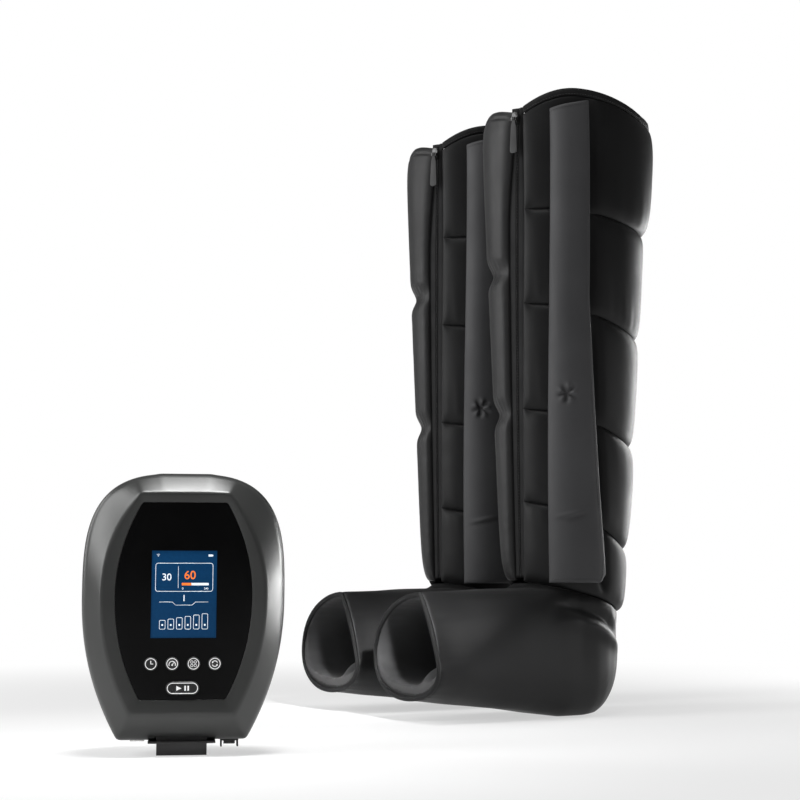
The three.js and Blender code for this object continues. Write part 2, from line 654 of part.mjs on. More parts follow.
// The slider is a plate with a waist, and two cheeks that carry the pull's pin.
function zipSlider() {
  const half = SLIDER_WIDTH / 2;
  const outline = new THREE.Shape();
  outline.moveTo(-SLIDER_WAIST / 2, -SLIDER_LENGTH / 2);
  outline.lineTo(SLIDER_WAIST / 2, -SLIDER_LENGTH / 2);
  outline.lineTo(half, SLIDER_LENGTH * 0.15);
  outline.quadraticCurveTo(half, SLIDER_LENGTH / 2, 0, SLIDER_LENGTH / 2);
  outline.quadraticCurveTo(-half, SLIDER_LENGTH / 2, -half, SLIDER_LENGTH * 0.15);
  outline.closePath();
  const plate = new THREE.ExtrudeGeometry(outline, {
    depth: SLIDER_THICKNESS,
    bevelEnabled: false,
    curveSegments: 4,
  });
  plate.rotateX(Math.PI / 2).translate(0, SLIDER_FACE, 0);
  const cheek = PULL_EYE_WALL;
  const cheekHeight = PULL_PIN_OUT + PULL_PIN_RADIUS + SLIDING_GAP - SLIDER_FACE;
  const cheekY = SLIDER_FACE - GAP + cheekHeight / 2;
  const cheekX = PULL_WIDTH / 2 - cheek / 2;
  const cheeks = [-cheekX, cheekX].map((x) =>
    box(cheek, cheekHeight, PULL_CHEEK_LENGTH, x, cheekY, PULL_PIN_UP - PULL_CHEEK_LENGTH / 2),
  );
  const pin = new THREE.CylinderGeometry(PULL_PIN_RADIUS, PULL_PIN_RADIUS, PULL_WIDTH - cheek, 8);
  pin.rotateZ(Math.PI / 2).translate(0, PULL_PIN_OUT, PULL_PIN_UP);
  return geometryOf(joined(plate, ...cheeks, pin));
}

// The pull is a tongue with an eye round the pin.
function zipPull() {
  const width = PULL_WIDTH - 2 * PULL_EYE_WALL - 2 * SLIDING_GAP;
  const eye = new THREE.Shape();
  eye.absarc(0, 0, PULL_PIN_RADIUS + SLIDING_GAP + PULL_EYE_WALL, 0, Math.PI * 2);
  const hole = new THREE.Path();
  hole.absarc(0, 0, PULL_PIN_RADIUS + SLIDING_GAP, 0, Math.PI * 2, true);
  eye.holes.push(hole);
  const ring = new THREE.ExtrudeGeometry(eye, { depth: width, bevelEnabled: false, curveSegments: 8 });
  ring.rotateY(Math.PI / 2).translate(-width / 2, 0, 0);
  const half = PULL_WIDTH / 2;
  const top = -PULL_PIN_RADIUS - SLIDING_GAP - PULL_EYE_WALL / 2;
  const tongue = new THREE.Shape();
  tongue.moveTo(-width / 2, top);
  tongue.lineTo(-half, top - PULL_TAPER);
  tongue.lineTo(-half, top - PULL_LENGTH + half);
  tongue.quadraticCurveTo(-half, top - PULL_LENGTH, 0, top - PULL_LENGTH);
  tongue.quadraticCurveTo(half, top - PULL_LENGTH, half, top - PULL_LENGTH + half);
  tongue.lineTo(half, top - PULL_TAPER);
  tongue.lineTo(width / 2, top);
  tongue.closePath();
  const plate = new THREE.ExtrudeGeometry(tongue, {
    depth: PULL_THICKNESS,
    bevelEnabled: false,
    curveSegments: 4,
  });
  plate.rotateX(Math.PI / 2).translate(0, PULL_THICKNESS / 2, 0);
  return geometryOf(joined(ring, plate)).translate(0, PULL_PIN_OUT, PULL_PIN_UP);
}

const FLAP_FLARE_Z = mix(FLAP_BOTTOM_Z, FLAP_LEFT_TOP_Z, FLAP_FLARE);
const flapWidth = (z) => {
  const below = Math.max(0, FLAP_FLARE_Z - z) / (FLAP_FLARE_Z - FLAP_BOTTOM_Z);
  return mix(FLAP_WIDTH, FLAP_FOOT_WIDTH, below);
};
const flapAngle = (u, z) => flapLeft(z) + u * degreesFor(flapWidth(z), z);

function hoseFlap() {
  const lift = (u) => {
    const raised = mix(SIDE_BULGE + 2 * GAP, FLAP_LIFT, smooth(0, 0.2, u));
    return raised - FLAP_EDGE_DROP * smooth(0.85, 1, u);
  };
  const height = (u, v) => {
    const top = FLAP_LEFT_TOP_Z + FLAP_TOP_SLANT * u;
    const corner = FLAP_CORNER_ROUND * smooth(0.8, 1, u) ** 2;
    return mix(FLAP_BOTTOM_Z + corner, top, v);
  };
  const face = (thickness) => (u, v) => {
    const z = height(u, v);
    return legPoint(flapAngle(u, z), z, lift(u) + thickness);
  };
  return panelSolid(
    [0, 0.07, 0.2, 0.4, 0.6, 0.8, 0.93, 1],
    [0, 0.12, 0.35, FLAP_FLARE, 0.8, 1],
    face(FLAP_THICKNESS),
    face(0),
  );
}

function airTubes() {
  const sides = 4;
  const us = [];
  for (let i = 0; i <= TUBE_COUNT * sides; i++) us.push(i / sides);
  const top = INLET_BOTTOM_Z - GAP;
  const angleAt = (u, z) => flapLeft(z) + degreesFor(TUBES_START + u * TUBE_PITCH, z);
  const round = (u) => {
    const arch = Math.sqrt(Math.max(0, 1 - (2 * (u % 1) - 1) ** 2));
    return u === TUBE_COUNT ? TUBE_WEB : Math.max(TUBE_WEB, TUBE_DIAMETER * arch);
  };
  return panelSolid(
    us,
    [TUBES_BOTTOM_Z, FLAP_FLARE_Z, top],
    (u, z) => legPoint(angleAt(u, z), z, BED_LIFT + round(u)),
    (u, z) => legPoint(angleAt(u, z), z, BED_LIFT),
  );
}

// The inlet is a flat block over the tubes' upper ends, with a bore for each hose.
function airInlet() {
  const top = INLET_BOTTOM_Z + INLET_HEIGHT;
  const left = TUBES_START - INLET_MARGIN;
  const right = TUBES_START + TUBE_COUNT * TUBE_PITCH + INLET_MARGIN;
  const face = (offset) => (u, z) =>
    legPoint(flapLeft(z) + degreesFor(mix(left, right, u), z), z, BED_LIFT + offset);
  let block = solid(
    panelSolid([0, 0.25, 0.5, 0.75, 1], [INLET_BOTTOM_Z, top], face(INLET_THICKNESS), face(0)),
  );
  for (let i = 0; i < TUBE_COUNT; i++) {
    const angle = flapLeft(top) + degreesFor(TUBES_START + (i + 0.5) * TUBE_PITCH, top);
    const mouth = legPoint(angle, top, BED_LIFT + INLET_THICKNESS / 2);
    const bore = barUp(TUBE_BORE / 2, mouth.x, mouth.y, top - INLET_BORE_DEPTH, top + OVERRUN, 8);
    block = block.subtract(solid(bore));
  }
  return geometryOf(block);
}

// Foot chamber. A ring is a superellipse across the foot, squarer over the heel than at the toes
function footRing(x, half, bottom, middle, top, upperPower, count = FOOT_RING_POINTS) {
  const ring = [];
  for (let i = 0; i < count; i++) {
    const turn = ((i + 0.5) / count) * Math.PI * 2;
    const cos = Math.cos(turn);
    const sin = Math.sin(turn);
    const power = sin > 0 ? upperPower : SOLE_POWER;
    const across = Math.sign(cos) * half * Math.abs(cos) ** (2 / power);
    const steep = Math.abs(sin) ** (2 / power);
    const fall = Math.min(1, SOLE_FLATNESS * steep) * (bottom - middle);
    const rise = sin > 0 ? steep * (top - middle) : fall;
    ring.push(new THREE.Vector3(x, across, middle + rise));
  }
  return ring;
}

const toeShare = (x) => THREE.MathUtils.clamp((HEEL_CENTRE_X - x) / (HEEL_CENTRE_X - TOE_X), 0, 1);
const soleHeight = (x) => {
  const front = Math.max(0, SOLE_FLAT_FRONT_X - x) / (SOLE_FLAT_FRONT_X - TOE_X);
  const back = Math.min(HEEL_ROUND, Math.max(0, x - SOLE_FLAT_BACK_X));
  const heel = HEEL_ROUND - Math.sqrt(HEEL_ROUND ** 2 - back ** 2);
  return TOE_SPRING * (1.5 * front - 0.5 * front ** 2) + heel;
};
const footTop = (x) => mix(FOOT_TOP_Z, TOE_TOP_Z, toeShare(x));
const footPower = (x) => mix(HEEL_POWER, TOE_POWER, smooth(0.15, 1, toeShare(x)));

function footBody() {
  const rings = [];
  for (const turn of [86, 76, 62, 45, 25, 0]) {
    const x = mix(HEEL_CENTRE_X, HEEL_X, Math.sin(radians(turn)));
    const half = FOOT_HALF_WIDTH * Math.cos(radians(turn));
    rings.push(footRing(x, half, soleHeight(x), FOOT_MIDDLE_Z, footTop(x), footPower(x)));
  }
  const count = 6;
  for (let i = 1; i <= count; i++) {
    const x = mix(HEEL_CENTRE_X, TOE_X, i / count);
    const drawnIn = TOE_DRAW * smooth(0.8, 1, i / count);
    const half = FOOT_HALF_WIDTH - drawnIn;
    const bottom = soleHeight(x) + drawnIn / 2;
    rings.push(footRing(x, half, bottom, FOOT_MIDDLE_Z, footTop(x), footPower(x)));
  }
  return loftSolid(rings);
}

function footTunnel() {
  const rings = [];
  const stations = 5;
  const middle = FOOT_MIDDLE_Z + TUNNEL_LIFT;
  const add = (x, half, floor, top, power) =>
    rings.push(footRing(x, half, floor, middle, top, power, TUNNEL_RING_POINTS));
  for (let i = 0; i <= stations; i++) {
    const x = mix(TOE_X - OVERRUN, HEEL_CENTRE_X, i / stations);
    const wall = mix(TOE_WALL, FOOT_WALL, smooth(0, 0.45, i / stations));
    add(x, FOOT_HALF_WIDTH - wall, soleHeight(x) + SOLE_THICKNESS, footTop(x) - wall, footPower(x));
  }
  for (const turn of [40, 70]) {
    const x = mix(HEEL_CENTRE_X, TUNNEL_HEEL_X, Math.sin(radians(turn)));
    const half = (FOOT_HALF_WIDTH - FOOT_WALL) * Math.cos(radians(turn));
    add(x, half, SOLE_THICKNESS + TUNNEL_HEEL_RISE, FOOT_TOP_Z - FOOT_WALL, SOLE_POWER);
  }
  return loftSolid(rings);
}

function legTube(inset, bottom, top, sides) {
  const rings = [bottom, top].map((z) => {
    const ring = [];
    for (let i = 0; i < sides; i++) ring.push(legPoint((i / sides) * FULL_TURN, z, -inset));
    return ring;
  });
  return loftSolid(rings);
}

// The foot: a body and a short collar under the leg, both cut off by the ankle seam, and hollow.
function footChamber() {
  const seam = SEAMS[0];
  const reach = THIGH_Z;
  const cutter = new THREE.BoxGeometry(reach, reach, reach).translate(0, 0, reach / 2);
  cutter.rotateY(-Math.atan(seam.slope)).translate(0, 0, seam.height - GAP);
  const tongue = new THREE.SphereGeometry(1, 10, 8);
  tongue.scale(TONGUE_HALF_LENGTH, TONGUE_HALF_WIDTH, TONGUE_RISE);
  const tongueZ = TOE_SPRING + SOLE_THICKNESS - TONGUE_SINK;
  tongue.translate(TOE_X + TONGUE_HALF_LENGTH - 2 * OVERRUN, -FOOT_HALF_WIDTH / 2, tongueZ);
  const body = solid(footBody());
  const hollow = solid(footTunnel()).subtract(solid(tongue));
  const shaft = solid(legTube(SEAM_THICKNESS + CHAMBER_FILL, FOOT_MIDDLE_Z, THIGH_Z, 16));
  const collar = solid(legTube(COLLAR_INSET, COLLAR_BOTTOM_Z, seam.height + COLLAR_OVERRUN, 20));
  const whole = body.add(collar).subtract(solid(cutter)).subtract(hollow).subtract(shaft);
  return geometryOf(whole);
}

function boot(name) {
  const group = new THREE.Group();
  const add = (part, geometry, material) => {
    const piece = mesh(`${name}_${part}`, geometry, material);
    group.add(piece);
    return piece;
  };
  CHAMBERS.forEach((chamber, i) => add(`${chamber.name}_chamber`, legChamber(i), NYLON()));
  add("foot_chamber", footChamber(), NYLON());
  add("shin_cushion", shinCushion(), NYLON());
  add("top_binding", topBinding(), BINDING_TAPE());
  add("zip_track", zipTrack(), ZIP_TAPE());
  const { high, turn } = zipFrame();
  const zip = new THREE.Group();
  zip.applyMatrix4(turn.clone().setPosition(high));
  zip.add(mesh(`${name}_zip_slider`, zipSlider(), ZIP_METAL()));
  zip.add(mesh(`${name}_zip_pull`, zipPull(), RUBBER()));
  group.add(zip);
  add("hose_flap", hoseFlap(), FLAP_NYLON());
  add("air_tubes", airTubes(), CLEAR_TUBE());
  add("air_inlet", airInlet(), GREY_PLASTIC());
  return group;
}

// Controller. Its face looks along -Y, and Y = 0 is the parting plane of the case
function ovalHalf(oval, z) {
  if (z < oval.widest) {
    const share = (oval.widest - z) / (oval.widest - oval.bottom);
    return oval.half - (oval.half - oval.bottomHalf) * share ** OVAL_BOTTOM_POWER;
  }
  const share = (z - oval.widest) / (oval.top - oval.widest);
  if (oval !== CASE) return oval.half - (oval.half - oval.topHalf) * share ** OVAL_TOP_POWER;
  const rounded = (1 - share ** CASE_TOP_ROUNDNESS) ** (1 / CASE_TOP_ROUNDNESS);
  return Math.max(oval.topHalf, oval.half * rounded);
}

// Outline of an oval, drawn in by an inset, as points [x, z] anticlockwise from its lower right corner.
function ovalOutline(oval, inset = 0) {
  const right = [];
  for (let i = 0; i <= OVAL_STEPS; i++) {
    const share = Math.sin((i / OVAL_STEPS) * (Math.PI / 2)) ** OVAL_CROWDING;
    const z = mix(oval.bottom, oval.top, share);
    right.push([ovalHalf(oval, z) - inset, mix(oval.bottom + inset, oval.top - inset, share)]);
  }
  const left = right.toReversed().map(([x, z]) => [-x, z]);
  return [...right, ...left];
}

const ovalRing = (oval, inset, y) => ovalOutline(oval, inset).map(([x, z]) => new THREE.Vector3(x, y, z));

function ovalPlate(oval, inset, front, back) {
  return loftSolid([ovalRing(oval, inset, front), ovalRing(oval, inset, back)]);
}

// Depths of the front, from the parting plane forwards
const PANEL_FACE_Y = -(FRONT_DEPTH - PANEL_RECESS);
const PANEL_BACK_Y = PANEL_FACE_Y + PANEL_THICKNESS;
const LEDGE_BACK_Y = PANEL_BACK_Y + GAP + LEDGE_THICKNESS;
const LCD_FACE_Y = PANEL_FACE_Y + LCD_SINK;
const KEY_FLANGE_BACK_Y = PANEL_BACK_Y + GAP + KEY_FLANGE_THICKNESS;
const BOARD_FRONT_Y = LCD_FACE_Y + LCD_THICKNESS + GAP;
const KEY_STEM_BACK_Y = BOARD_FRONT_Y - SWITCH_HEIGHT - KEY_TRAVEL - SLIDING_GAP;
const keyX = (i) => (i - (KEY_NAMES.length - 1) / 2) * KEY_PITCH;

// Bar along Y with the start key's outline, grown all round.
function startKeyBar(grown, front, back) {
  const radius = START_KEY_HEIGHT / 2 + grown;
  const reach = (START_KEY_LENGTH - START_KEY_HEIGHT) / 2;
  const outline = new THREE.Shape();
  outline.absarc(reach, 0, radius, -Math.PI / 2, Math.PI / 2);
  outline.absarc(-reach, 0, radius, Math.PI / 2, (Math.PI * 3) / 2);
  outline.closePath();
  const bar = new THREE.ExtrudeGeometry(outline, {
    depth: back - front,
    bevelEnabled: false,
    curveSegments: 8,
  });
  return bar.rotateX(Math.PI / 2).translate(0, back, START_KEY_Z);
}

function screwBosses(front, back) {
  return SCREW_PLACES.map(({ x, z }) => solid(barAlongY(SCREW_BOSS_RADIUS, x, z, front, back, 8)));
}

function frontShell() {
  const outside = solid(
    loftSolid([
      ovalRing(CASE, 0, -GAP / 2),
      ovalRing(CASE, 0, -FRONT_RIM_DEPTH),
      ovalRing(RIDGE, 0, -FRONT_DEPTH),
      ovalRing(PANEL, -GAP, PANEL_FACE_Y),
    ]),
  );
  const inside = solid(
    loftSolid([
      ovalRing(CASE, CASE_WALL, OVERRUN),
      ovalRing(CASE, CASE_WALL, OVERRUN - FRONT_RIM_DEPTH),
      ovalRing(RIDGE, CASE_WALL - OVERRUN, LEDGE_BACK_Y),
    ]),
  );
  const front = -FRONT_DEPTH - OVERRUN;
  const back = LEDGE_BACK_Y + OVERRUN;
  const seat = solid(ovalPlate(PANEL, -GAP, front, PANEL_BACK_Y + GAP));
  const window = solid(ovalPlate(PANEL, PANEL_LEDGE, front, back));
  const keyRoom = solid(startKeyBar(KEY_FLANGE + SLIDING_GAP, PANEL_FACE_Y, back));
  let shell = outside.subtract(inside);
  for (const boss of screwBosses(LEDGE_BACK_Y - OVERRUN, -GAP / 2)) {
    shell = shell.add(boss.intersect(outside));
  }
  shell = shell.subtract(seat).subtract(window).subtract(keyRoom);
  for (const z of [BOARD_BOTTOM_Z + BOARD_POST_INSET, BOARD_TOP_Z - BOARD_POST_INSET]) {
    const ledgeX = ovalHalf(PANEL, z) - PANEL_LEDGE / 2;
    for (const x of [-ledgeX, ledgeX]) {
      const post = barAlongY(BOARD_POST_RADIUS, x, z, LEDGE_BACK_Y - OVERRUN, BOARD_FRONT_Y - GAP, 8);
      shell = shell.add(solid(post));
    }
  }
  for (const { x, z } of SCREW_PLACES) {
    const hole = barAlongY(SCREW_RADIUS + GAP, x, z, -SCREW_BITE - OVERRUN, OVERRUN, 8);
    shell = shell.subtract(solid(hole));
  }
  for (const cut of underCuts()) shell = shell.subtract(solid(cut));
  return geometryOf(shell);
}

function shelves() {
  const places = [
    { z: PUMP_BOTTOM_Z, half: PUMP_SHELF_HALF_LENGTH },
    { z: MANIFOLD_BOTTOM_Z, half: MANIFOLD_LENGTH / 2 },
    { z: BATTERY_BOTTOM_Z, half: BATTERY_LENGTH / 2 },
  ];
  const depth = REAR_DEPTH - SHELF_FRONT_Y;
  const middle = SHELF_FRONT_Y + depth / 2;
  return places.map(({ z, half }) =>
    box(2 * half, depth, SHELF_THICKNESS, 0, middle, z - GAP - SHELF_THICKNESS),
  );
}

function rearShell() {
  const outside = solid(
    loftSolid([
      ovalRing(CASE, 0, GAP / 2),
      ovalRing(CASE, 0, REAR_RIM_DEPTH),
      ovalRing(REAR, 0, REAR_DEPTH - REAR_EDGE),
      ovalRing(REAR, REAR_EDGE, REAR_DEPTH),
    ]),
  );
  const inside = solid(
    loftSolid([
      ovalRing(CASE, CASE_WALL, -OVERRUN),
      ovalRing(CASE, CASE_WALL, REAR_RIM_DEPTH - OVERRUN),
      ovalRing(REAR, CASE_WALL, REAR_DEPTH - REAR_EDGE - OVERRUN),
      ovalRing(REAR, CASE_WALL + REAR_EDGE, REAR_DEPTH - CASE_WALL),
    ]),
  );
  let shell = outside.subtract(inside);
  for (const boss of screwBosses(GAP / 2, REAR_DEPTH)) shell = shell.add(boss.intersect(outside));
  for (const shelf of shelves()) shell = shell.add(solid(shelf).intersect(outside));
  for (const { x, z } of SCREW_PLACES) {
    const hole = barAlongY(SCREW_RADIUS + GAP, x, z, -OVERRUN, SCREW_SEAT_Y + OVERRUN, 8);
    const well = barAlongY(SCREW_HEAD_RADIUS + GAP, x, z, SCREW_SEAT_Y, REAR_DEPTH + OVERRUN, 10);
    shell = shell.subtract(solid(hole)).subtract(solid(well));
  }
  for (const cut of underCuts()) shell = shell.subtract(solid(cut));
  for (const z of Object.values(FOOT_STRIP_HEIGHTS)) {
    shell = shell.subtract(solid(footStrip(z, GAP)));
  }
  return geometryOf(shell);
}

// Openings through the case's underside for what is fitted there.
function underCuts() {
  const bottom = CASE.bottom - OVERRUN;
  const cut = (width, depth, top, x, room) =>
    box(width + 2 * room, depth + 2 * room, top + GAP - bottom, x, SOCKET_Y, bottom);
  const barrel = JACK_WIDTH - 2 * JACK_LIP;
  return [
    cut(SOCKET_WIDTH, SOCKET_DEPTH, SOCKET_INNER_Z, 0, GAP),
    cut(ROCKER_WIDTH, ROCKER_LENGTH, ROCKER_TIP_Z + ROCKER_HEIGHT + OVERRUN, ROCKER_X, SLIDING_GAP),
    cut(barrel, barrel, CASE.bottom - JACK_DROP + JACK_HEIGHT, JACK_X, GAP),
  ];
}

function footStrip(z, clearance) {
  return box(
    FOOT_STRIP_LENGTH + 2 * clearance,
    FOOT_STRIP_THICKNESS + clearance,
    FOOT_STRIP_WIDTH + 2 * clearance,
    0,
    REAR_DEPTH - FOOT_STRIP_SEAT + (FOOT_STRIP_THICKNESS - clearance) / 2,
    z - FOOT_STRIP_WIDTH / 2 - clearance,
  );
}

function frontPanel() {
  let panel = solid(ovalPlate(PANEL, 0, PANEL_FACE_Y, PANEL_BACK_Y));
  const front = PANEL_FACE_Y - OVERRUN;
  const back = PANEL_BACK_Y + OVERRUN;
  const window = box(
    2 * (LCD_HALF_WIDTH + GAP), back - front, LCD_HEIGHT + 2 * GAP, 0, (front + back) / 2, LCD_BOTTOM_Z - GAP,
  );
  panel = panel.subtract(solid(window));
  KEY_NAMES.forEach((_, i) => {
    const hole = barAlongY(KEY_RADIUS + SLIDING_GAP, keyX(i), KEY_ROW_Z, front, back, 20);
    panel = panel.subtract(solid(hole));
  });
  return geometryOf(panel.subtract(solid(startKeyBar(SLIDING_GAP, front, back))));
}

function lcdModule() {
  const frameFront = PANEL_BACK_Y + GAP;
  const plate = (front, back, margin) =>
    box(
      2 * (LCD_HALF_WIDTH + margin), back - front, LCD_HEIGHT + 2 * margin,
      0, (front + back) / 2, LCD_BOTTOM_Z - margin,
    );
  const glass = plate(LCD_FACE_Y, frameFront + OVERRUN, 0);
  const frame = plate(frameFront, LCD_FACE_Y + LCD_THICKNESS, LCD_BEZEL);
  return geometryOf(joined(glass, frame));
}

function roundKey(x) {
  const face = PANEL_FACE_Y - KEY_PROUD;
  const flangeFront = PANEL_BACK_Y + GAP;
  return geometryOf(
    joined(
      barAlongY(KEY_RADIUS, x, KEY_ROW_Z, face, KEY_FLANGE_BACK_Y, 20),
      barAlongY(KEY_RADIUS + KEY_FLANGE, x, KEY_ROW_Z, flangeFront, KEY_FLANGE_BACK_Y, 20),
      barAlongY(KEY_STEM_RADIUS, x, KEY_ROW_Z, flangeFront, KEY_STEM_BACK_Y, 8),
    ),
  );
}

function startKey() {
  const flangeFront = PANEL_BACK_Y + GAP;
  return geometryOf(
    joined(
      startKeyBar(0, PANEL_FACE_Y - KEY_PROUD, KEY_FLANGE_BACK_Y),
      startKeyBar(KEY_FLANGE, flangeFront, KEY_FLANGE_BACK_Y),
      barAlongY(KEY_STEM_RADIUS, 0, START_KEY_Z, flangeFront, KEY_STEM_BACK_Y, 8),
    ),
  );
}

function controlBoard() {
  const middle = BOARD_FRONT_Y + BOARD_THICKNESS / 2;
  const height = BOARD_TOP_Z - BOARD_BOTTOM_Z;
  const plate = box(2 * BOARD_HALF_WIDTH, BOARD_THICKNESS, height, 0, middle, BOARD_BOTTOM_Z);
  const tabHeight = BOARD_BOTTOM_Z + OVERRUN - BOARD_TAB_BOTTOM_Z;
  const tab = box(2 * BOARD_TAB_HALF_WIDTH, BOARD_THICKNESS, tabHeight, 0, middle, BOARD_TAB_BOTTOM_Z);
  const places = [...KEY_NAMES.map((_, i) => [keyX(i), KEY_ROW_Z]), [0, START_KEY_Z]];
  const switches = places.map(([x, z]) =>
    barAlongY(SWITCH_RADIUS, x, z, BOARD_FRONT_Y - SWITCH_HEIGHT, middle, 10),
  );
  return geometryOf(joined(plate, tab, ...switches));
}

function airPump() {
  const top = PUMP_BOTTOM_Z + PUMP_HEIGHT;
  const body = box(PUMP_WIDTH, SHELF_LOAD_DEPTH, PUMP_HEIGHT, PUMP_X, PUMP_Y, PUMP_BOTTOM_Z);
  const head = barUp(PUMP_HEAD_RADIUS, PUMP_X, PUMP_Y, top - OVERRUN, top + PUMP_HEAD_HEIGHT);
  return geometryOf(joined(body, head));
}

const MOTOR_X = PUMP_X + PUMP_WIDTH / 2 + GAP;
const MOTOR_Z = PUMP_BOTTOM_Z + MOTOR_RADIUS;

function pumpMotor() {
  const outline = [
    [0, 0],
    [MOTOR_RADIUS, 0],
    [MOTOR_RADIUS, MOTOR_LENGTH - MOTOR_CHAMFER.length],
    [MOTOR_RADIUS - MOTOR_CHAMFER.depth, MOTOR_LENGTH],
    [MOTOR_BEARING.radius, MOTOR_LENGTH],
    [MOTOR_BEARING.radius, MOTOR_LENGTH + MOTOR_BEARING.length],
    [0, MOTOR_LENGTH + MOTOR_BEARING.length],
  ];
  const can = new THREE.LatheGeometry(outline.map(([r, h]) => new THREE.Vector2(r, h)), 20);
  return can.rotateZ(-Math.PI / 2).translate(MOTOR_X, PUMP_Y, MOTOR_Z);
}

function valveManifold() {
  const bar = box(MANIFOLD_LENGTH, MANIFOLD_DEPTH, MANIFOLD_HEIGHT, 0, MANIFOLD_Y, MANIFOLD_BOTTOM_Z);
  const front = MANIFOLD_Y - MANIFOLD_DEPTH / 2;
  const middle = MANIFOLD_BOTTOM_Z + MANIFOLD_HEIGHT / 2;
  const nozzles = [];
  for (let i = 0; i < VALVE_COUNT; i++) {
    const tip = front - MANIFOLD_NOZZLE_LENGTH;
    nozzles.push(barAlongY(NOZZLE_RADIUS, valveX(i), middle, tip, front + OVERRUN, 8));
  }
  return geometryOf(joined(bar, ...nozzles));
}

const valveX = (i) => (i - (VALVE_COUNT - 1) / 2) * VALVE_PITCH;

function solenoidValve(i) {
  const bottom = MANIFOLD_BOTTOM_Z + MANIFOLD_HEIGHT + GAP;
  const top = bottom + VALVE_HEIGHT;
  return geometryOf(
    joined(
      barUp(VALVE_RADIUS, valveX(i), MANIFOLD_Y, bottom, top, 12),
      barUp(VALVE_TIP_RADIUS, valveX(i), MANIFOLD_Y, top - OVERRUN, top + VALVE_TIP_HEIGHT, 8),
    ),
  );
}

function batteryPack() {
  const radius = BATTERY_HEIGHT / 2;
  const cells = [-1, 1].map((side) => {
    const cell = new THREE.CylinderGeometry(radius, radius, BATTERY_LENGTH, 14);
    cell.rotateZ(Math.PI / 2);
    return cell.translate(0, BATTERY_Y + side * (SHELF_LOAD_DEPTH / 2 - radius), BATTERY_BOTTOM_Z + radius);
  });
  const length = BATTERY_LENGTH - 2 * BATTERY_WRAP_INSET;
  const depth = SHELF_LOAD_DEPTH - 2 * radius;
  const wrap = box(length, depth, BATTERY_HEIGHT, 0, BATTERY_Y, BATTERY_BOTTOM_Z);
  return geometryOf(joined(...cells, wrap));
}

// Hose from the pump's side round to the end of the valve manifold.
function pumpHose() {
  const pumpSide = PUMP_X - PUMP_WIDTH / 2 - GAP;
  const manifoldEnd = -MANIFOLD_LENGTH / 2 - GAP;
  const high = PUMP_BOTTOM_Z + HOSE_RISE;
  const low = MANIFOLD_BOTTOM_Z + MANIFOLD_HEIGHT / 2;
  const route = new THREE.CatmullRomCurve3([
    new THREE.Vector3(pumpSide, PUMP_Y, high),
    new THREE.Vector3(pumpSide - HOSE_STRAIGHT, PUMP_Y, high),
    new THREE.Vector3(manifoldEnd - HOSE_BOW, PUMP_Y, (high + low) / 2),
    new THREE.Vector3(manifoldEnd - HOSE_STRAIGHT, MANIFOLD_Y, low),
    new THREE.Vector3(manifoldEnd, MANIFOLD_Y, low),
  ]);
  const section = new THREE.Shape().absarc(0, 0, HOSE_DIAMETER / 2, 0, Math.PI * 2);
  return new THREE.ExtrudeGeometry(section, { steps: HOSE_STEPS, curveSegments: 4, extrudePath: route });
}

// Air socket: a block through the case's underside, hollow from below, with a nozzle for each chamber.
function airSocket() {
  const flangeBottom = CASE.bottom - GAP - SOCKET_FLANGE_THICKNESS;
  const innerWidth = SOCKET_WIDTH - 2 * SOCKET_WALL;
  const innerDepth = SOCKET_DEPTH - 2 * SOCKET_WALL;
  let block = joined(
    box(SOCKET_WIDTH, SOCKET_DEPTH, SOCKET_INNER_Z, 0, SOCKET_Y, 0),
    box(SOCKET_FLANGE_WIDTH, SOCKET_FLANGE_DEPTH, SOCKET_FLANGE_THICKNESS, 0, SOCKET_Y, flangeBottom),
  );
  block = block.subtract(
    solid(box(innerWidth, innerDepth, SOCKET_FLOOR_Z + OVERRUN, 0, SOCKET_Y, -OVERRUN)),
  );
  for (const x of [-NOZZLE_PITCH, 0, NOZZLE_PITCH]) {
    for (const y of [-NOZZLE_PITCH / 2, NOZZLE_PITCH / 2]) {
      const tip = SOCKET_FLOOR_Z - NOZZLE_LENGTH;
      const nozzle = barUp(NOZZLE_RADIUS, x, SOCKET_Y + y, tip, SOCKET_FLOOR_Z + OVERRUN, 8);
      const bore = barUp(TUBE_BORE / 2, x, SOCKET_Y + y, -OVERRUN, SOCKET_INNER_Z + OVERRUN, 6);
      block = block.add(solid(nozzle)).subtract(solid(bore));
    }
  }
  return geometryOf(block);
}

const ROCKER_PIVOT_Z = CASE.bottom;

// Rocker: a block with a tip at each end, rounded about its pivot so that it tilts in its frame.
function powerRocker() {
  const half = ROCKER_LENGTH / 2;
  const top = ROCKER_TIP_Z + ROCKER_HEIGHT;
  const outline = new THREE.Shape();
  outline.moveTo(ROCKER_END_TAPER.top - half, top);
  outline.lineTo(ROCKER_END_TAPER.tip - half, ROCKER_TIP_Z);
  outline.quadraticCurveTo(0, ROCKER_TIP_Z + ROCKER_DISH, half - ROCKER_END_TAPER.tip, ROCKER_TIP_Z);
  outline.lineTo(half - ROCKER_END_TAPER.top, top);
  outline.closePath();
  const block = new THREE.ExtrudeGeometry(outline, {
    depth: ROCKER_WIDTH,
    bevelEnabled: false,
    curveSegments: 6,
  });
  block.rotateX(Math.PI / 2).rotateZ(Math.PI / 2).translate(-ROCKER_WIDTH / 2, 0, -ROCKER_PIVOT_Z);
  block.rotateX(-radians(ROCKER_ANGLE));
  return block.translate(ROCKER_X, SOCKET_Y, ROCKER_PIVOT_Z);
}

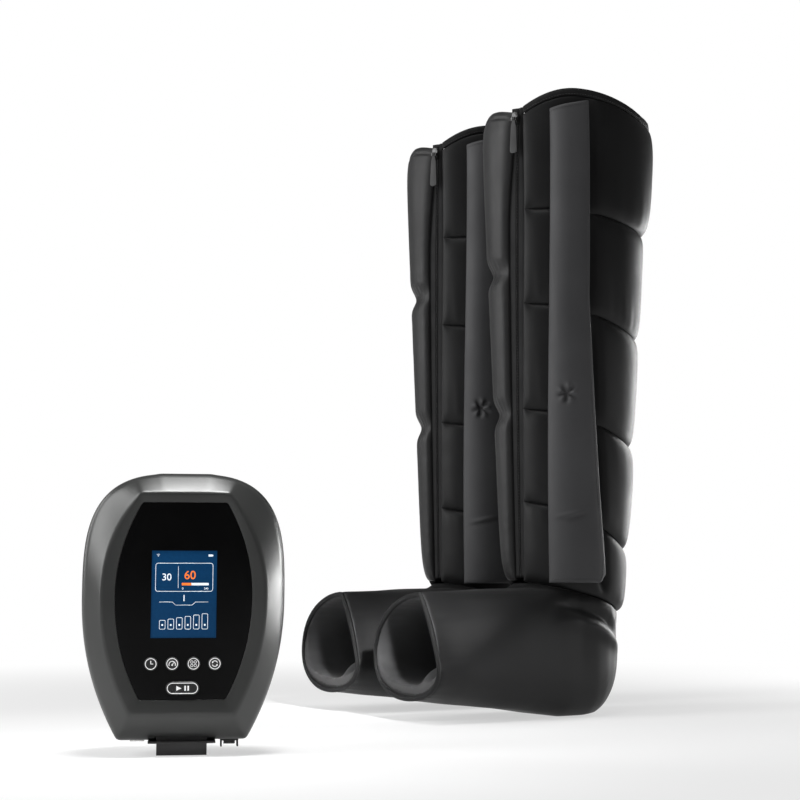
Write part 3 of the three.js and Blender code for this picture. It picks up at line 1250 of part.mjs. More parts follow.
function rockerFrame() {
  const top = CASE.bottom - GAP;
  const outerX = ROCKER_FRAME_WIDTH / 2 - ROCKER_GUARD_THICKNESS / 2;
  const plate = box(
    ROCKER_FRAME_WIDTH, ROCKER_FRAME_LENGTH, ROCKER_FRAME_THICKNESS, ROCKER_X, SOCKET_Y,
    top - ROCKER_FRAME_THICKNESS,
  );
  const guardBottom = CASE.bottom - ROCKER_GUARD_DROP;
  const guards = [-outerX, outerX].map((x) =>
    box(ROCKER_GUARD_THICKNESS, ROCKER_LENGTH, top - guardBottom, ROCKER_X + x, SOCKET_Y, guardBottom),
  );
  const width = ROCKER_WIDTH + 2 * SLIDING_GAP;
  const slot = box(width, ROCKER_LENGTH + 2 * SLIDING_GAP, 2 * ROCKER_HEIGHT, ROCKER_X, SOCKET_Y, 0);
  return geometryOf(joined(plate, ...guards).subtract(solid(slot)));
}

// Charging jack: a barrel behind a small flange, open below, with its pin.
function dcJack() {
  const bottom = CASE.bottom - JACK_DROP;
  const barrel = JACK_WIDTH - 2 * JACK_LIP;
  const boreTop = bottom + JACK_BORE_DEPTH;
  const body = joined(
    box(barrel, barrel, JACK_HEIGHT, JACK_X, SOCKET_Y, bottom),
    box(JACK_WIDTH, JACK_WIDTH, JACK_DROP - GAP, JACK_X, SOCKET_Y, bottom),
  );
  const bore = solid(barUp(JACK_BORE_RADIUS, JACK_X, SOCKET_Y, bottom - OVERRUN, boreTop, 16));
  const pin = solid(barUp(JACK_PIN_RADIUS, JACK_X, SOCKET_Y, bottom + OVERRUN, boreTop + OVERRUN, 8));
  return geometryOf(body.subtract(bore).add(pin));
}

function caseScrew({ x, z }) {
  const headFront = SCREW_SEAT_Y + GAP;
  return geometryOf(
    joined(
      barAlongY(SCREW_RADIUS, x, z, -SCREW_BITE, headFront + OVERRUN, 8),
      barAlongY(SCREW_HEAD_RADIUS, x, z, headFront, headFront + SCREW_HEAD_HEIGHT, 12),
    ),
  );
}

function controller() {
  const group = new THREE.Group();
  const add = (name, geometry, material) => group.add(mesh(name, geometry, material));
  add("front_shell", frontShell(), GREY_CASE());
  add("rear_shell", rearShell(), GREY_CASE());
  add("front_panel", frontPanel(), BLACK_PANEL());
  add("lcd_module", lcdModule(), DISPLAY());
  KEY_NAMES.forEach((name, i) => add(name, roundKey(keyX(i)), KEY_PLASTIC()));
  add("key_start", startKey(), KEY_PLASTIC());
  add("control_board", controlBoard(), BOARD_GREEN());
  add("air_pump", airPump(), GREY_PLASTIC());
  add("pump_motor", pumpMotor(), STEEL());
  add("valve_manifold", valveManifold(), GREY_PLASTIC());
  for (let i = 0; i < VALVE_COUNT; i++) add(`solenoid_valve_${i + 1}`, solenoidValve(i), STEEL());
  add("battery_pack", batteryPack(), DISPLAY());
  add("pump_hose", pumpHose(), CLEAR_TUBE());
  add("air_socket", airSocket(), KEY_PLASTIC());
  add("power_rocker", powerRocker(), KEY_PLASTIC());
  add("rocker_frame", rockerFrame(), KEY_PLASTIC());
  add("dc_jack", dcJack(), STEEL());
  SCREW_PLACES.forEach((place, i) => add(`case_screw_${i + 1}`, caseScrew(place), STEEL()));
  for (const [name, z] of Object.entries(FOOT_STRIP_HEIGHTS)) add(name, footStrip(z, 0), RUBBER());
  return group;
}

const set = new THREE.Group();
const nearBoot = boot("near");
const farBoot = boot("far");
farBoot.position.set(FAR_BOOT_X, FAR_BOOT_Y, 0);
const handUnit = controller();
handUnit.position.set(CONTROLLER_X, CONTROLLER_Y, 0);
handUnit.rotation.z = radians(CONTROLLER_TURN);
set.add(nearBoot, farBoot, handUnit);
set.updateMatrixWorld(true);
const bounds = new THREE.Box3().setFromObject(set, true);
const middle = bounds.getCenter(new THREE.Vector3());
set.position.set(-middle.x, -middle.y, -bounds.min.z);

const part = new THREE.Group();
part.name = "leg_massager";
part.add(set);

export default part;
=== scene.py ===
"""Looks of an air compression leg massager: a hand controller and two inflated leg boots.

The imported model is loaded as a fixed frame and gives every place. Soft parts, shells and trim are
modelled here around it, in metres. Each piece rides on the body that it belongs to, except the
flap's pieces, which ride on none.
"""

import logging
import math
from contextlib import contextmanager
from dataclasses import dataclass, field
from enum import Enum
from typing import Callable, Iterator, Sequence

import bmesh
import bpy
import numpy as np
from mathutils import Matrix, Vector
from mathutils.kdtree import KDTree


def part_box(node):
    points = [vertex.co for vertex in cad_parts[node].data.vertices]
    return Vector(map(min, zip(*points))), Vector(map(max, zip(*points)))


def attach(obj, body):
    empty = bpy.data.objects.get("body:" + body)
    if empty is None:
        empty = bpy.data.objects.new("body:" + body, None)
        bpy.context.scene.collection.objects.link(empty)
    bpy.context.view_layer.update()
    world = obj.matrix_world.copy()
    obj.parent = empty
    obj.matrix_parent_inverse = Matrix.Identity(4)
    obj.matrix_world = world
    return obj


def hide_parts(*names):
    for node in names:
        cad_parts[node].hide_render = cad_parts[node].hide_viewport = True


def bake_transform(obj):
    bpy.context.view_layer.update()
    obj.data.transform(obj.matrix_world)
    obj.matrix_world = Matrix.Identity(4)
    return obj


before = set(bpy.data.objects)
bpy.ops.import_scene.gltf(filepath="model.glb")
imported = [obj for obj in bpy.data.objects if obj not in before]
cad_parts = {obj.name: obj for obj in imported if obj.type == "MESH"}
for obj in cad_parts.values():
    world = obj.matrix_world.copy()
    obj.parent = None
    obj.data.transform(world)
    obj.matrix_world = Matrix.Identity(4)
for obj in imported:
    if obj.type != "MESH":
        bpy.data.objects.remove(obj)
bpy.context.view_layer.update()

LOG = logging.getLogger("leg_massager")
MM = 0.001
Object = bpy.types.Object
Material = bpy.types.Material
Node = bpy.types.Node
Socket = bpy.types.NodeSocket
Tree = bpy.types.NodeTree
Colour = tuple[float, float, float]
Values = float | np.ndarray
Points = Sequence[tuple[float, float]]
Profile = Sequence[tuple[float, float, float]]
Spread = list[tuple[float, np.ndarray]]
WHITE = (1, 1, 1, 1)


def mix(low: Values, high: Values, share: Values) -> Values:
    """Straight blend from low to high, for numbers and arrays."""
    return low + (high - low) * share


def smooth(low: float, high: float, value: Values) -> Values:
    """Blend that leaves low and reaches high without a kink.

    Args:
        low: Value where the result is 0.
        high: Value where the result is 1.
        value: Number or array.

    Returns:
        The share, from 0 to 1.
    """
    share = np.clip((value - low) / (high - low), 0.0, 1.0)
    return share * share * (3 - 2 * share)


def crown(share: Values, power: float) -> Values:
    """Crown of an inflated panel: 0 at its edges and nearly 1 over most of its width."""
    return np.sqrt(np.maximum(0.0, 1 - np.abs(2 * share - 1) ** power))


def edge_steps(count: int, edge: float) -> np.ndarray:
    """Steps from 0 to 1 that crowd towards both ends.

    Args:
        count: Number of spans.
        edge: How far the steps crowd, from 0, even, to 1, as a cosine.

    Returns:
        The steps, count + 1 of them.
    """
    even = np.linspace(0, 1, count + 1)
    crowded = (1 - np.cos(np.pi * even)) / 2
    return mix(even, crowded, edge)


def run_of(line: np.ndarray) -> np.ndarray:
    """Distance of each point of a line from its start."""
    return np.concatenate([[0], np.cumsum(np.linalg.norm(np.diff(line, axis=0), axis=1))])


def sample(line: np.ndarray, run: np.ndarray, at: np.ndarray) -> np.ndarray:
    """Reads a line between its points.

    Args:
        line: Values at the points, a row for each.
        run: Distance of each point from the start.
        at: Distances to read it at.

    Returns:
        The values there, a row for each distance.
    """
    return np.stack([np.interp(at, run, column) for column in line.T], 1)


class Folds:
    """Small folds that run out from a sewn seam, the same on every run."""

    def __init__(self, seed: int, depth: float, reach: float, shortest: float = 0.011) -> None:
        """Draws the waves.

        Args:
            seed: Picks one set of folds.
            depth: Height of the folds, in metres.
            reach: How far from the seam they fade.
            shortest: Shortest wave along the seam.
        """
        rng = np.random.default_rng(seed)
        self.depth = depth
        self.reach = reach
        self.waves = shortest * rng.uniform(1.0, 4.2, 9)
        self.phases = rng.uniform(0, 2 * np.pi, 9)
        self.weights = rng.uniform(0.3, 1.0, 9) / 9
        self.swing = rng.uniform(0, 2 * np.pi, 2)

    def height(self, along: Values, away: Values) -> Values:
        """Height of the folds.

        Args:
            along: Distance along the seam.
            away: Distance from the seam.

        Returns:
            The height above the unfolded cloth, about zero on average.
        """
        wave = 0.0
        for length, phase, weight in zip(self.waves, self.phases, self.weights):
            wave = wave + weight * np.sin(2 * np.pi * along / length + phase)
        long = np.sin(along / 0.037 + self.swing[0]) + np.sin(along / 0.061 + self.swing[1])
        reach = self.reach * (1 + 0.35 * long)
        sewn = 1 - np.exp(-away / 0.003)
        return 2.4 * self.depth * wave * sewn * np.exp(-away / np.maximum(reach, 0.004))


# Modelling steps that the pieces share


def clear() -> None:
    """Leaves edit mode and deselects everything."""
    if bpy.context.object and bpy.context.object.mode != "OBJECT":
        bpy.ops.object.mode_set(mode="OBJECT")
    bpy.ops.object.select_all(action="DESELECT")


def pick(obj: Object) -> None:
    """Makes a piece the only selected and the active one.

    Args:
        obj: The piece.
    """
    clear()
    obj.select_set(True)
    bpy.context.view_layer.objects.active = obj


def rename(obj: Object, name: str) -> Object:
    """Names an object and its data.

    Args:
        obj: The object.
        name: Its new name.

    Returns:
        The object.
    """
    obj.name = name
    obj.data.name = name
    return obj


def add(operator: Callable, name: str, **settings: object) -> Object:
    """Adds an object with one of Blender's operators and names it.

    Args:
        operator: The operator.
        name: The object's name.
        **settings: The operator's values.

    Returns:
        The object.
    """
    clear()
    operator(**settings)
    return rename(bpy.context.active_object, name)


def link(name: str, data: bpy.types.ID) -> Object:
    """Makes a piece of a mesh or a curve and puts it in the scene.

    Args:
        name: The piece's name.
        data: The mesh or curve.

    Returns:
        The piece.
    """
    obj = bpy.data.objects.new(name, data)
    bpy.context.collection.objects.link(obj)
    return obj


def places_of(obj: Object) -> np.ndarray:
    """Places of a piece's vertices."""
    return np.array([vertex.co for vertex in obj.data.vertices])


def move_to(obj: Object, points: np.ndarray) -> None:
    """Puts a piece's vertices in new places."""
    obj.data.vertices.foreach_set("co", points.ravel())
    obj.data.update()


@contextmanager
def editing(obj: Object) -> Iterator[None]:
    """Edit mode on a piece, with all of its mesh selected.

    Args:
        obj: The piece.
    """
    pick(obj)
    bpy.ops.object.mode_set(mode="EDIT")
    bpy.ops.mesh.select_all(action="SELECT")
    yield
    bpy.ops.object.mode_set(mode="OBJECT")


def apply(obj: Object, kind: str, **settings: object) -> Object:
    """Adds a modifier, sets it and applies it.

    Args:
        obj: The piece.
        kind: The modifier's type.
        **settings: Its values.

    Returns:
        The piece.
    """
    pick(obj)
    modifier = obj.modifiers.new(kind.lower(), kind)
    for key, value in settings.items():
        setattr(modifier, key, value)
    bpy.ops.object.modifier_apply(modifier=modifier.name)
    return obj


def combine(obj: Object, other: Object, operation: str) -> Object:
    """Joins or cuts a piece with another, which goes.

    Args:
        obj: The piece that stays.
        other: The tool, removed afterwards.
        operation: UNION, DIFFERENCE or INTERSECT.

    Returns:
        The piece.
    """
    apply(obj, "BOOLEAN", object=other, operation=operation, solver="EXACT")
    bpy.data.objects.remove(other)
    return obj


def bevel(obj: Object, width: float, segments: int = 3, angle: float = 30) -> Object:
    """Rounds the edges that are sharper than an angle, in degrees."""
    return apply(
        obj,
        "BEVEL",
        width=width,
        segments=segments,
        limit_method="ANGLE",
        angle_limit=math.radians(angle),
        harden_normals=False,
        use_clamp_overlap=True,
    )


def shade(obj: Object, angle: float = 40) -> Object:
    """Smooth shading over edges flatter than an angle, in degrees.

    Args:
        obj: The piece.
        angle: Edges sharper than this stay sharp.

    Returns:
        The piece.
    """
    pick(obj)
    bpy.ops.object.shade_smooth_by_angle(angle=math.radians(angle))
    return obj


def face_out(obj: Object) -> Object:
    """Merges doubles and turns every face outwards.

    Args:
        obj: The piece.

    Returns:
        The piece.
    """
    with editing(obj):
        bpy.ops.mesh.remove_doubles(threshold=1e-6)
        bpy.ops.mesh.normals_make_consistent(inside=False)
    return obj


def loft(name: str, rings: Sequence[np.ndarray], closed: bool = True) -> Object:
    """Extrudes a circle ring by ring and lays each ring on its outline.

    Args:
        name: The piece's name.
        rings: Outlines of equally many points each.
        closed: Whether the two ends are filled.

    Returns:
        The piece, its faces outwards.
    """
    obj = add(bpy.ops.mesh.primitive_circle_add, name, vertices=len(rings[0]), radius=1)
    for vertex, place in zip(obj.data.vertices, rings[0]):
        vertex.co = place
    with editing(obj):
        if closed:
            bpy.ops.mesh.edge_face_add()
            bpy.ops.mesh.select_mode(type="EDGE")
        for last, ring in zip(rings, rings[1:]):
            bpy.ops.mesh.extrude_region_move()
            lay_ring(obj, last, ring)
    return face_out(obj)


def lay_ring(obj: Object, last: np.ndarray, ring: np.ndarray) -> None:
    """Moves the selected ring from its last outline to the next one.

    Args:
        obj: The piece, in edit mode.
        last: Where the ring's points are.
        ring: Where they go.
    """
    tree = KDTree(len(last))
    for i, place in enumerate(last):
        tree.insert(Vector(place), i)
    tree.balance()
    made = bmesh.from_edit_mesh(obj.data)
    for vertex in made.verts:
        if vertex.select:
            vertex.co = ring[tree.find(vertex.co)[1]]
    bmesh.update_edit_mesh(obj.data)


def settle(obj: Object) -> Object:
    """Moves a piece's place, turn and size into its mesh.

    Args:
        obj: The piece.

    Returns:
        The piece.
    """
    obj.data.transform(obj.matrix_basis)
    obj.matrix_basis = Matrix.Identity(4)
    return obj


def bar(name: str, radius: float, x: float, z: float, front: float, back: float, sides: int = 40) -> Object:
    """A cylinder along Y, between two depths.

    Args:
        name: Its name.
        radius: Its radius.
        x: Where its axis is across the face.
        z: Where its axis is up the face.
        front: Its smaller Y.
        back: Its larger Y.
        sides: How many sides it has.

    Returns:
        The cylinder.
    """
    place, turn = (x, (front + back) / 2, z), (math.radians(90), 0, 0)
    size = {"vertices": sides, "radius": radius, "depth": back - front}
    return settle(add(bpy.ops.mesh.primitive_cylinder_add, name, location=place, rotation=turn, **size))


def block(name: str, low: Sequence[float], high: Sequence[float]) -> Object:
    """A block between two corners.

    Args:
        name: Its name.
        low: Its corner with the smallest X, Y and Z.
        high: Its corner with the largest.

    Returns:
        The block.
    """
    low, high = np.array(low), np.array(high)
    obj = add(bpy.ops.mesh.primitive_cube_add, name, size=1, location=(low + high) / 2)
    obj.scale = high - low
    return settle(obj)


def join(objs: Sequence[Object]) -> Object:
    """Makes several pieces one and gives it.

    Args:
        objs: The pieces.

    Returns:
        The first of them, which holds all.
    """
    pick(objs[0])
    for obj in objs:
        obj.select_set(True)
    bpy.ops.object.join()
    return objs[0]


def rounded_copy(node: str, name: str, edge: float) -> Object:
    """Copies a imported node, merges its doubles and flat faces, and rounds its edges.

    Args:
        node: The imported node.
        name: The copy's name.
        edge: Width of the rounding.

    Returns:
        The copy.
    """
    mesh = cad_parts[node].data.copy()
    mesh.name = name
    obj = link(name, mesh)
    with editing(obj):
        bpy.ops.mesh.remove_doubles(threshold=1e-6)
        bpy.ops.mesh.customdata_custom_splitnormals_clear()
        bpy.ops.mesh.dissolve_limited(angle_limit=math.radians(0.5))
        bpy.ops.mesh.normals_make_consistent(inside=False)
    return shade(bevel(obj, edge, 2, 40), 35)


def shell(name: str, outer: np.ndarray, inner: np.ndarray, uv: np.ndarray) -> Object:
    """Closed cloth solid between two grids of points that share their edge.

    Args:
        name: The piece's name.
        outer: Points of the outer face, rows by columns by 3.
        inner: Points of the inner face.
        uv: Place of each point on the flat cloth, in metres, rows by columns by 2.

    Returns:
        The piece, its faces outwards, with the flat cloth as its UV map.
    """
    rows, columns = outer.shape[:2]
    count = rows * columns
    index = np.arange(count).reshape(rows, columns)
    quads = np.stack([index[:-1, :-1], index[:-1, 1:], index[1:, 1:], index[1:, :-1]], -1)
    quads = quads.reshape(-1, 4)
    rim = np.concatenate([index[0, :-1], index[:-1, -1], index[-1, :0:-1], index[:0:-1, 0]])
    after = np.roll(rim, -1)
    band = np.stack([after, rim, rim + count, after + count], -1)
    faces = np.concatenate([quads, quads[:, ::-1] + count, band])
    mesh = bpy.data.meshes.new(name)
    points = np.concatenate([outer.reshape(-1, 3), inner.reshape(-1, 3)])
    mesh.from_pydata(points.tolist(), [], faces.tolist())
    corner = np.zeros(len(mesh.loops), np.int32)
    mesh.loops.foreach_get("vertex_index", corner)
    layer = mesh.uv_layers.new(name="cloth")
    layer.data.foreach_set("uv", uv.reshape(-1, 2)[corner % count].astype(np.float32).ravel())
    obj = link(name, mesh)
    with editing(obj):
        bpy.ops.mesh.normals_make_consistent(inside=False)
    mesh.shade_smooth()
    return obj


def array_along(
    name: str, unit: Object, places: np.ndarray, tangents: np.ndarray, normals: np.ndarray
) -> Object:
    """Copies a small unit along a line as one piece, and removes the unit.

    Args:
        name: The piece's name.
        unit: A mesh about the origin, X along the line and Z out of the surface.
        places: Points on the line.
        tangents: Directions of the line there.
        normals: Directions out of the surface there.

    Returns:
        The piece.
    """
    base = places_of(unit)
    faces = [tuple(p.vertices) for p in unit.data.polygons]
    x = tangents / np.linalg.norm(tangents, axis=1, keepdims=True)
    y = np.cross(normals, x)
    y /= np.linalg.norm(y, axis=1, keepdims=True)
    z = np.cross(x, y)
    turn = np.stack([x, y, z], axis=2)
    points = (np.einsum("nij,kj->nki", turn, base) + places[:, None, :]).reshape(-1, 3)
    every = [tuple(i + k * len(base) for i in face) for k in range(len(places)) for face in faces]
    mesh = bpy.data.meshes.new(name)
    mesh.from_pydata(points.tolist(), [], every)
    mesh.shade_smooth()
    bpy.data.objects.remove(unit)
    return link(name, mesh)


def stitch(length: float, radius: float) -> Object:
    """One stitch of thread, lying along X, half sunk in the cloth.

    Args:
        length: Its length.
        radius: The thread's radius.

    Returns:
        The stitch.
    """
    obj = add(bpy.ops.mesh.primitive_uv_sphere_add, "stitch", segments=6, ring_count=4, radius=1)
    obj.data.transform(Matrix.Diagonal((length / 2, radius, radius, 1)))
    return obj


def stitch_row(name: str, line: np.ndarray, normals: np.ndarray, pitch: float = 0.0034) -> Object:
    """Row of stitches at a steady pitch along a line on a surface.

    Args:
        name: The piece's name.
        line: Points along the row.
        normals: Directions out of the surface at these points.
        pitch: Distance from stitch to stitch.

    Returns:
        The piece.
    """
    run = run_of(line)
    at = np.arange(pitch / 2, run[-1], pitch)
    ahead = sample(line, run, at + pitch / 4) - sample(line, run, at - pitch / 4)
    unit = stitch(pitch * 0.72, 0.00035)
    return array_along(name, unit, sample(line, run, at), ahead, sample(normals, run, at))


class Mapping(Enum):
    """Where a pattern takes its coordinates from."""

    CLOTH = "cloth"
    SOLID = "solid"


# Shader nodes and node groups


def start_group(name: str, inputs: dict[str, float | None], outputs: Sequence[str]) -> tuple:
    """Starts a shader node group.

    Args:
        name: The group's name.
        inputs: Names of its inputs, with None for a vector or a default for a value.
        outputs: Names of its outputs, all values.

    Returns:
        The node tree, its input node and its output node.
    """
    tree = bpy.data.node_groups.new(name, "ShaderNodeTree")
    for key, default in inputs.items():
        kind = "NodeSocketVector" if default is None else "NodeSocketFloat"
        socket = tree.interface.new_socket(key, in_out="INPUT", socket_type=kind)
        if default is not None:
            socket.default_value = default
    for key in outputs:
        tree.interface.new_socket(key, in_out="OUTPUT", socket_type="NodeSocketFloat")
    return tree, tree.nodes.new("NodeGroupInput"), tree.nodes.new("NodeGroupOutput")


def feed(tree: Tree, node: Node, inputs: dict[str | int, object]) -> None:
    """Sets or links inputs of a node.

    Args:
        tree: The node's tree.
        node: The node.
        inputs: A value or a socket for each input, by name or number.
    """
    for key, value in inputs.items():
        if isinstance(value, Socket):
            tree.links.new(value, node.inputs[key])
        else:
            node.inputs[key].default_value = value


def add_node(tree: Tree, kind: str, inputs: dict[str | int, object], **settings: object) -> Node:
    """Adds a shader node.

    Args:
        tree: The tree that gets it.
        kind: Its type, without the common prefix.
        inputs: A value or a socket for each input that differs from its default.
        **settings: Its other settings.

    Returns:
        The node.
    """
    node = tree.nodes.new(f"ShaderNode{kind}")
    for key, value in settings.items():
        setattr(node, key, value)
    feed(tree, node, inputs)
    return node


def compute(tree: Tree, operation: str, *values: float | Socket) -> Socket:
    """Adds a math node on sockets or numbers, and gives its output socket."""
    return add_node(tree, "Math", dict(enumerate(values)), operation=operation).outputs[0]


def noise(tree: Tree, vector: Socket, scale: float | Socket, detail: float = 3) -> Socket:
    """Adds a noise texture and gives its value socket."""
    inputs = {"Vector": vector, "Scale": scale, "Detail": detail}
    return add_node(tree, "TexNoise", inputs).outputs["Fac"]


def build_weave() -> Tree:
    """Plain weave: threads that pass over and under each other, on flat cloth coordinates."""
    tree, start, end = start_group("plain_weave", {"Vector": None, "Threads": 900.0}, ["Height"])
    split = add_node(tree, "SeparateXYZ", {0: start.outputs["Vector"]})
    waves = []
    for axis in ("X", "Y"):
        turns = compute(tree, "MULTIPLY", split.outputs[axis], start.outputs["Threads"])
        waves.append(compute(tree, "SINE", compute(tree, "MULTIPLY", turns, math.pi)))
    over = compute(tree, "MULTIPLY", waves[0], waves[1])
    ridge = compute(tree, "MULTIPLY", compute(tree, "ABSOLUTE", over), 0.6)
    tree.links.new(compute(tree, "MULTIPLY_ADD", over, 0.3, ridge), end.inputs["Height"])
    return tree


def build_grain() -> Tree:
    """Fine moulded grain, with a slow change of depth across the surface."""
    tree, start, end = start_group("moulded_grain", {"Vector": None, "Scale": 2500.0}, ["Height"])
    fine = noise(tree, start.outputs["Vector"], start.outputs["Scale"], 2)
    slow = noise(tree, start.outputs["Vector"], 35.0, 2)
    depth = compute(tree, "MULTIPLY_ADD", slow, 0.5, 0.6)
    tree.links.new(compute(tree, "MULTIPLY", fine, depth), end.inputs["Height"])
    return tree


def build_tone() -> Tree:
    """Slow tone of a surface, between two values."""
    inputs = {"Vector": None, "Scale": 20.0, "Low": 0.0, "High": 1.0}
    tree, start, end = start_group("slow_tone", inputs, ["Value"])
    tone = noise(tree, start.outputs["Vector"], start.outputs["Scale"], 4)
    limits = {"From Min": 0.3, "From Max": 0.7}
    limits |= {"To Min": start.outputs["Low"], "To Max": start.outputs["High"]}
    spread = add_node(tree, "MapRange", {"Value": tone, **limits}, interpolation_type="SMOOTHSTEP")
    tree.links.new(spread.outputs["Result"], end.inputs["Value"])
    return tree


def use_group(tree: Tree, name: str, vector: Socket, **values: float) -> Socket:
    """Puts a group in a material with its own values.

    Args:
        tree: The material's node tree.
        name: The group's name, built on first use.
        vector: Socket of the coordinates.
        **values: Values of its inputs.

    Returns:
        Its first output socket.
    """
    makers = {
        "plain_weave": build_weave,
        "moulded_grain": build_grain,
        "slow_tone": build_tone,
    }
    group = bpy.data.node_groups.get(name) or makers[name]()
    return add_node(tree, "Group", {"Vector": vector, **values}, node_tree=group).outputs[0]


def coordinates(tree: Tree, mapping: Mapping) -> Socket:
    """Gives the coordinate socket of a mapping.

    Args:
        tree: The material's node tree.
        mapping: What the pattern follows.

    Returns:
        The socket.
    """
    if mapping is Mapping.CLOTH:
        return add_node(tree, "UVMap", {}, uv_map=mapping.value).outputs["UV"]
    return add_node(tree, "TexCoord", {}).outputs["Object"]


def blend_colours(tree: Tree, share: Socket, low: Colour, high: Colour) -> Socket:
    """Blends two colours by a socket and gives the colour socket."""
    inputs = {"Factor": share, "A": (*low, 1), "B": (*high, 1)}
    return add_node(tree, "Mix", inputs, data_type="RGBA").outputs["Result"]


@dataclass(frozen=True)
class Surface:
    """A material of the set, which is built once."""

    name: str

    def material(self) -> Material:
        """Builds the material, or gives the one already built."""
        name = f"{self.name}_look"
        made = bpy.data.materials.get(name)
        if made is None:
            made = bpy.data.materials.new(name)
            made.use_nodes = True
            tree = made.node_tree
            feed(tree, tree.nodes["Principled BSDF"], self.inputs(tree))
        return made

    def inputs(self, tree: Tree) -> dict[str, object]:
        """Values and sockets for the shader of the material."""
        raise NotImplementedError


@dataclass(frozen=True)
class Finish(Surface):
    """A surface with a slow tone between two colours and a fine relief."""

    dark: Colour
    light: Colour
    roughness: tuple[float, float] = (0.45, 0.55)
    relief: str = "moulded_grain"
    relief_scale: float = 2500.0
    relief_depth: float = 0.00004
    tone_scale: float = 18.0
    mapping: Mapping = Mapping.SOLID
    metallic: float = 0.0
    specular: float = 0.5
    sheen: float = 0.0
    sheen_roughness: float = 0.4
    transmission: float = 0.0

    def inputs(self, tree: Tree) -> dict[str, object]:
        """Values and sockets for the shader: tone, gloss and relief.

        Args:
            tree: The material's node tree.

        Returns:
            Each input's name and what feeds it.
        """
        solid = coordinates(tree, Mapping.SOLID)
        tone = use_group(tree, "slow_tone", solid, Scale=self.tone_scale)
        low, high = self.roughness
        gloss = use_group(tree, "slow_tone", solid, Scale=self.tone_scale * 2.5, Low=low, High=high)
        where = coordinates(tree, self.mapping)
        key = "Threads" if self.relief == "plain_weave" else "Scale"
        height = use_group(tree, self.relief, where, **{key: self.relief_scale})
        bump = add_node(tree, "Bump", {"Distance": self.relief_depth, "Height": height})
        return {
            "Base Color": blend_colours(tree, tone, self.dark, self.light),
            "Roughness": gloss,
            "Normal": bump.outputs["Normal"],
            "Metallic": self.metallic,
            "Specular IOR Level": self.specular,
            "Sheen Weight": self.sheen,
            "Sheen Roughness": self.sheen_roughness,
            "Transmission Weight": self.transmission,
        }


@dataclass(frozen=True)
class Glow(Surface):
    """A lit mark on the display, or a printed key symbol that glows as painted light."""

    colour: Colour
    strength: float = 1.0

    def inputs(self, tree: Tree) -> dict[str, object]:
        """Values and sockets for the shader: a light of a slightly uneven colour.

        Args:
            tree: The material's node tree.

        Returns:
            Each input's name and what feeds it.
        """
        solid = coordinates(tree, Mapping.SOLID)
        tone = use_group(tree, "slow_tone", solid, Scale=400.0, Low=0.0, High=1.0)
        dim = tuple(0.9 * c for c in self.colour)
        colour = blend_colours(tree, tone, dim, self.colour)
        return {
            "Base Color": colour,
            "Emission Color": colour,
            "Emission Strength": self.strength,
            "Roughness": 0.3,
            "Specular IOR Level": 0.05,
        }


def woven(name: str, dark: float, light: float, **values: object) -> Finish:
    """A neutral black woven cloth, from its darkest and lightest grey."""
    return Finish(
        name,
        (dark, dark, dark * 1.04),
        (light, light, light * 1.04),
        relief="plain_weave",
        mapping=Mapping.CLOTH,
        **values,
    )


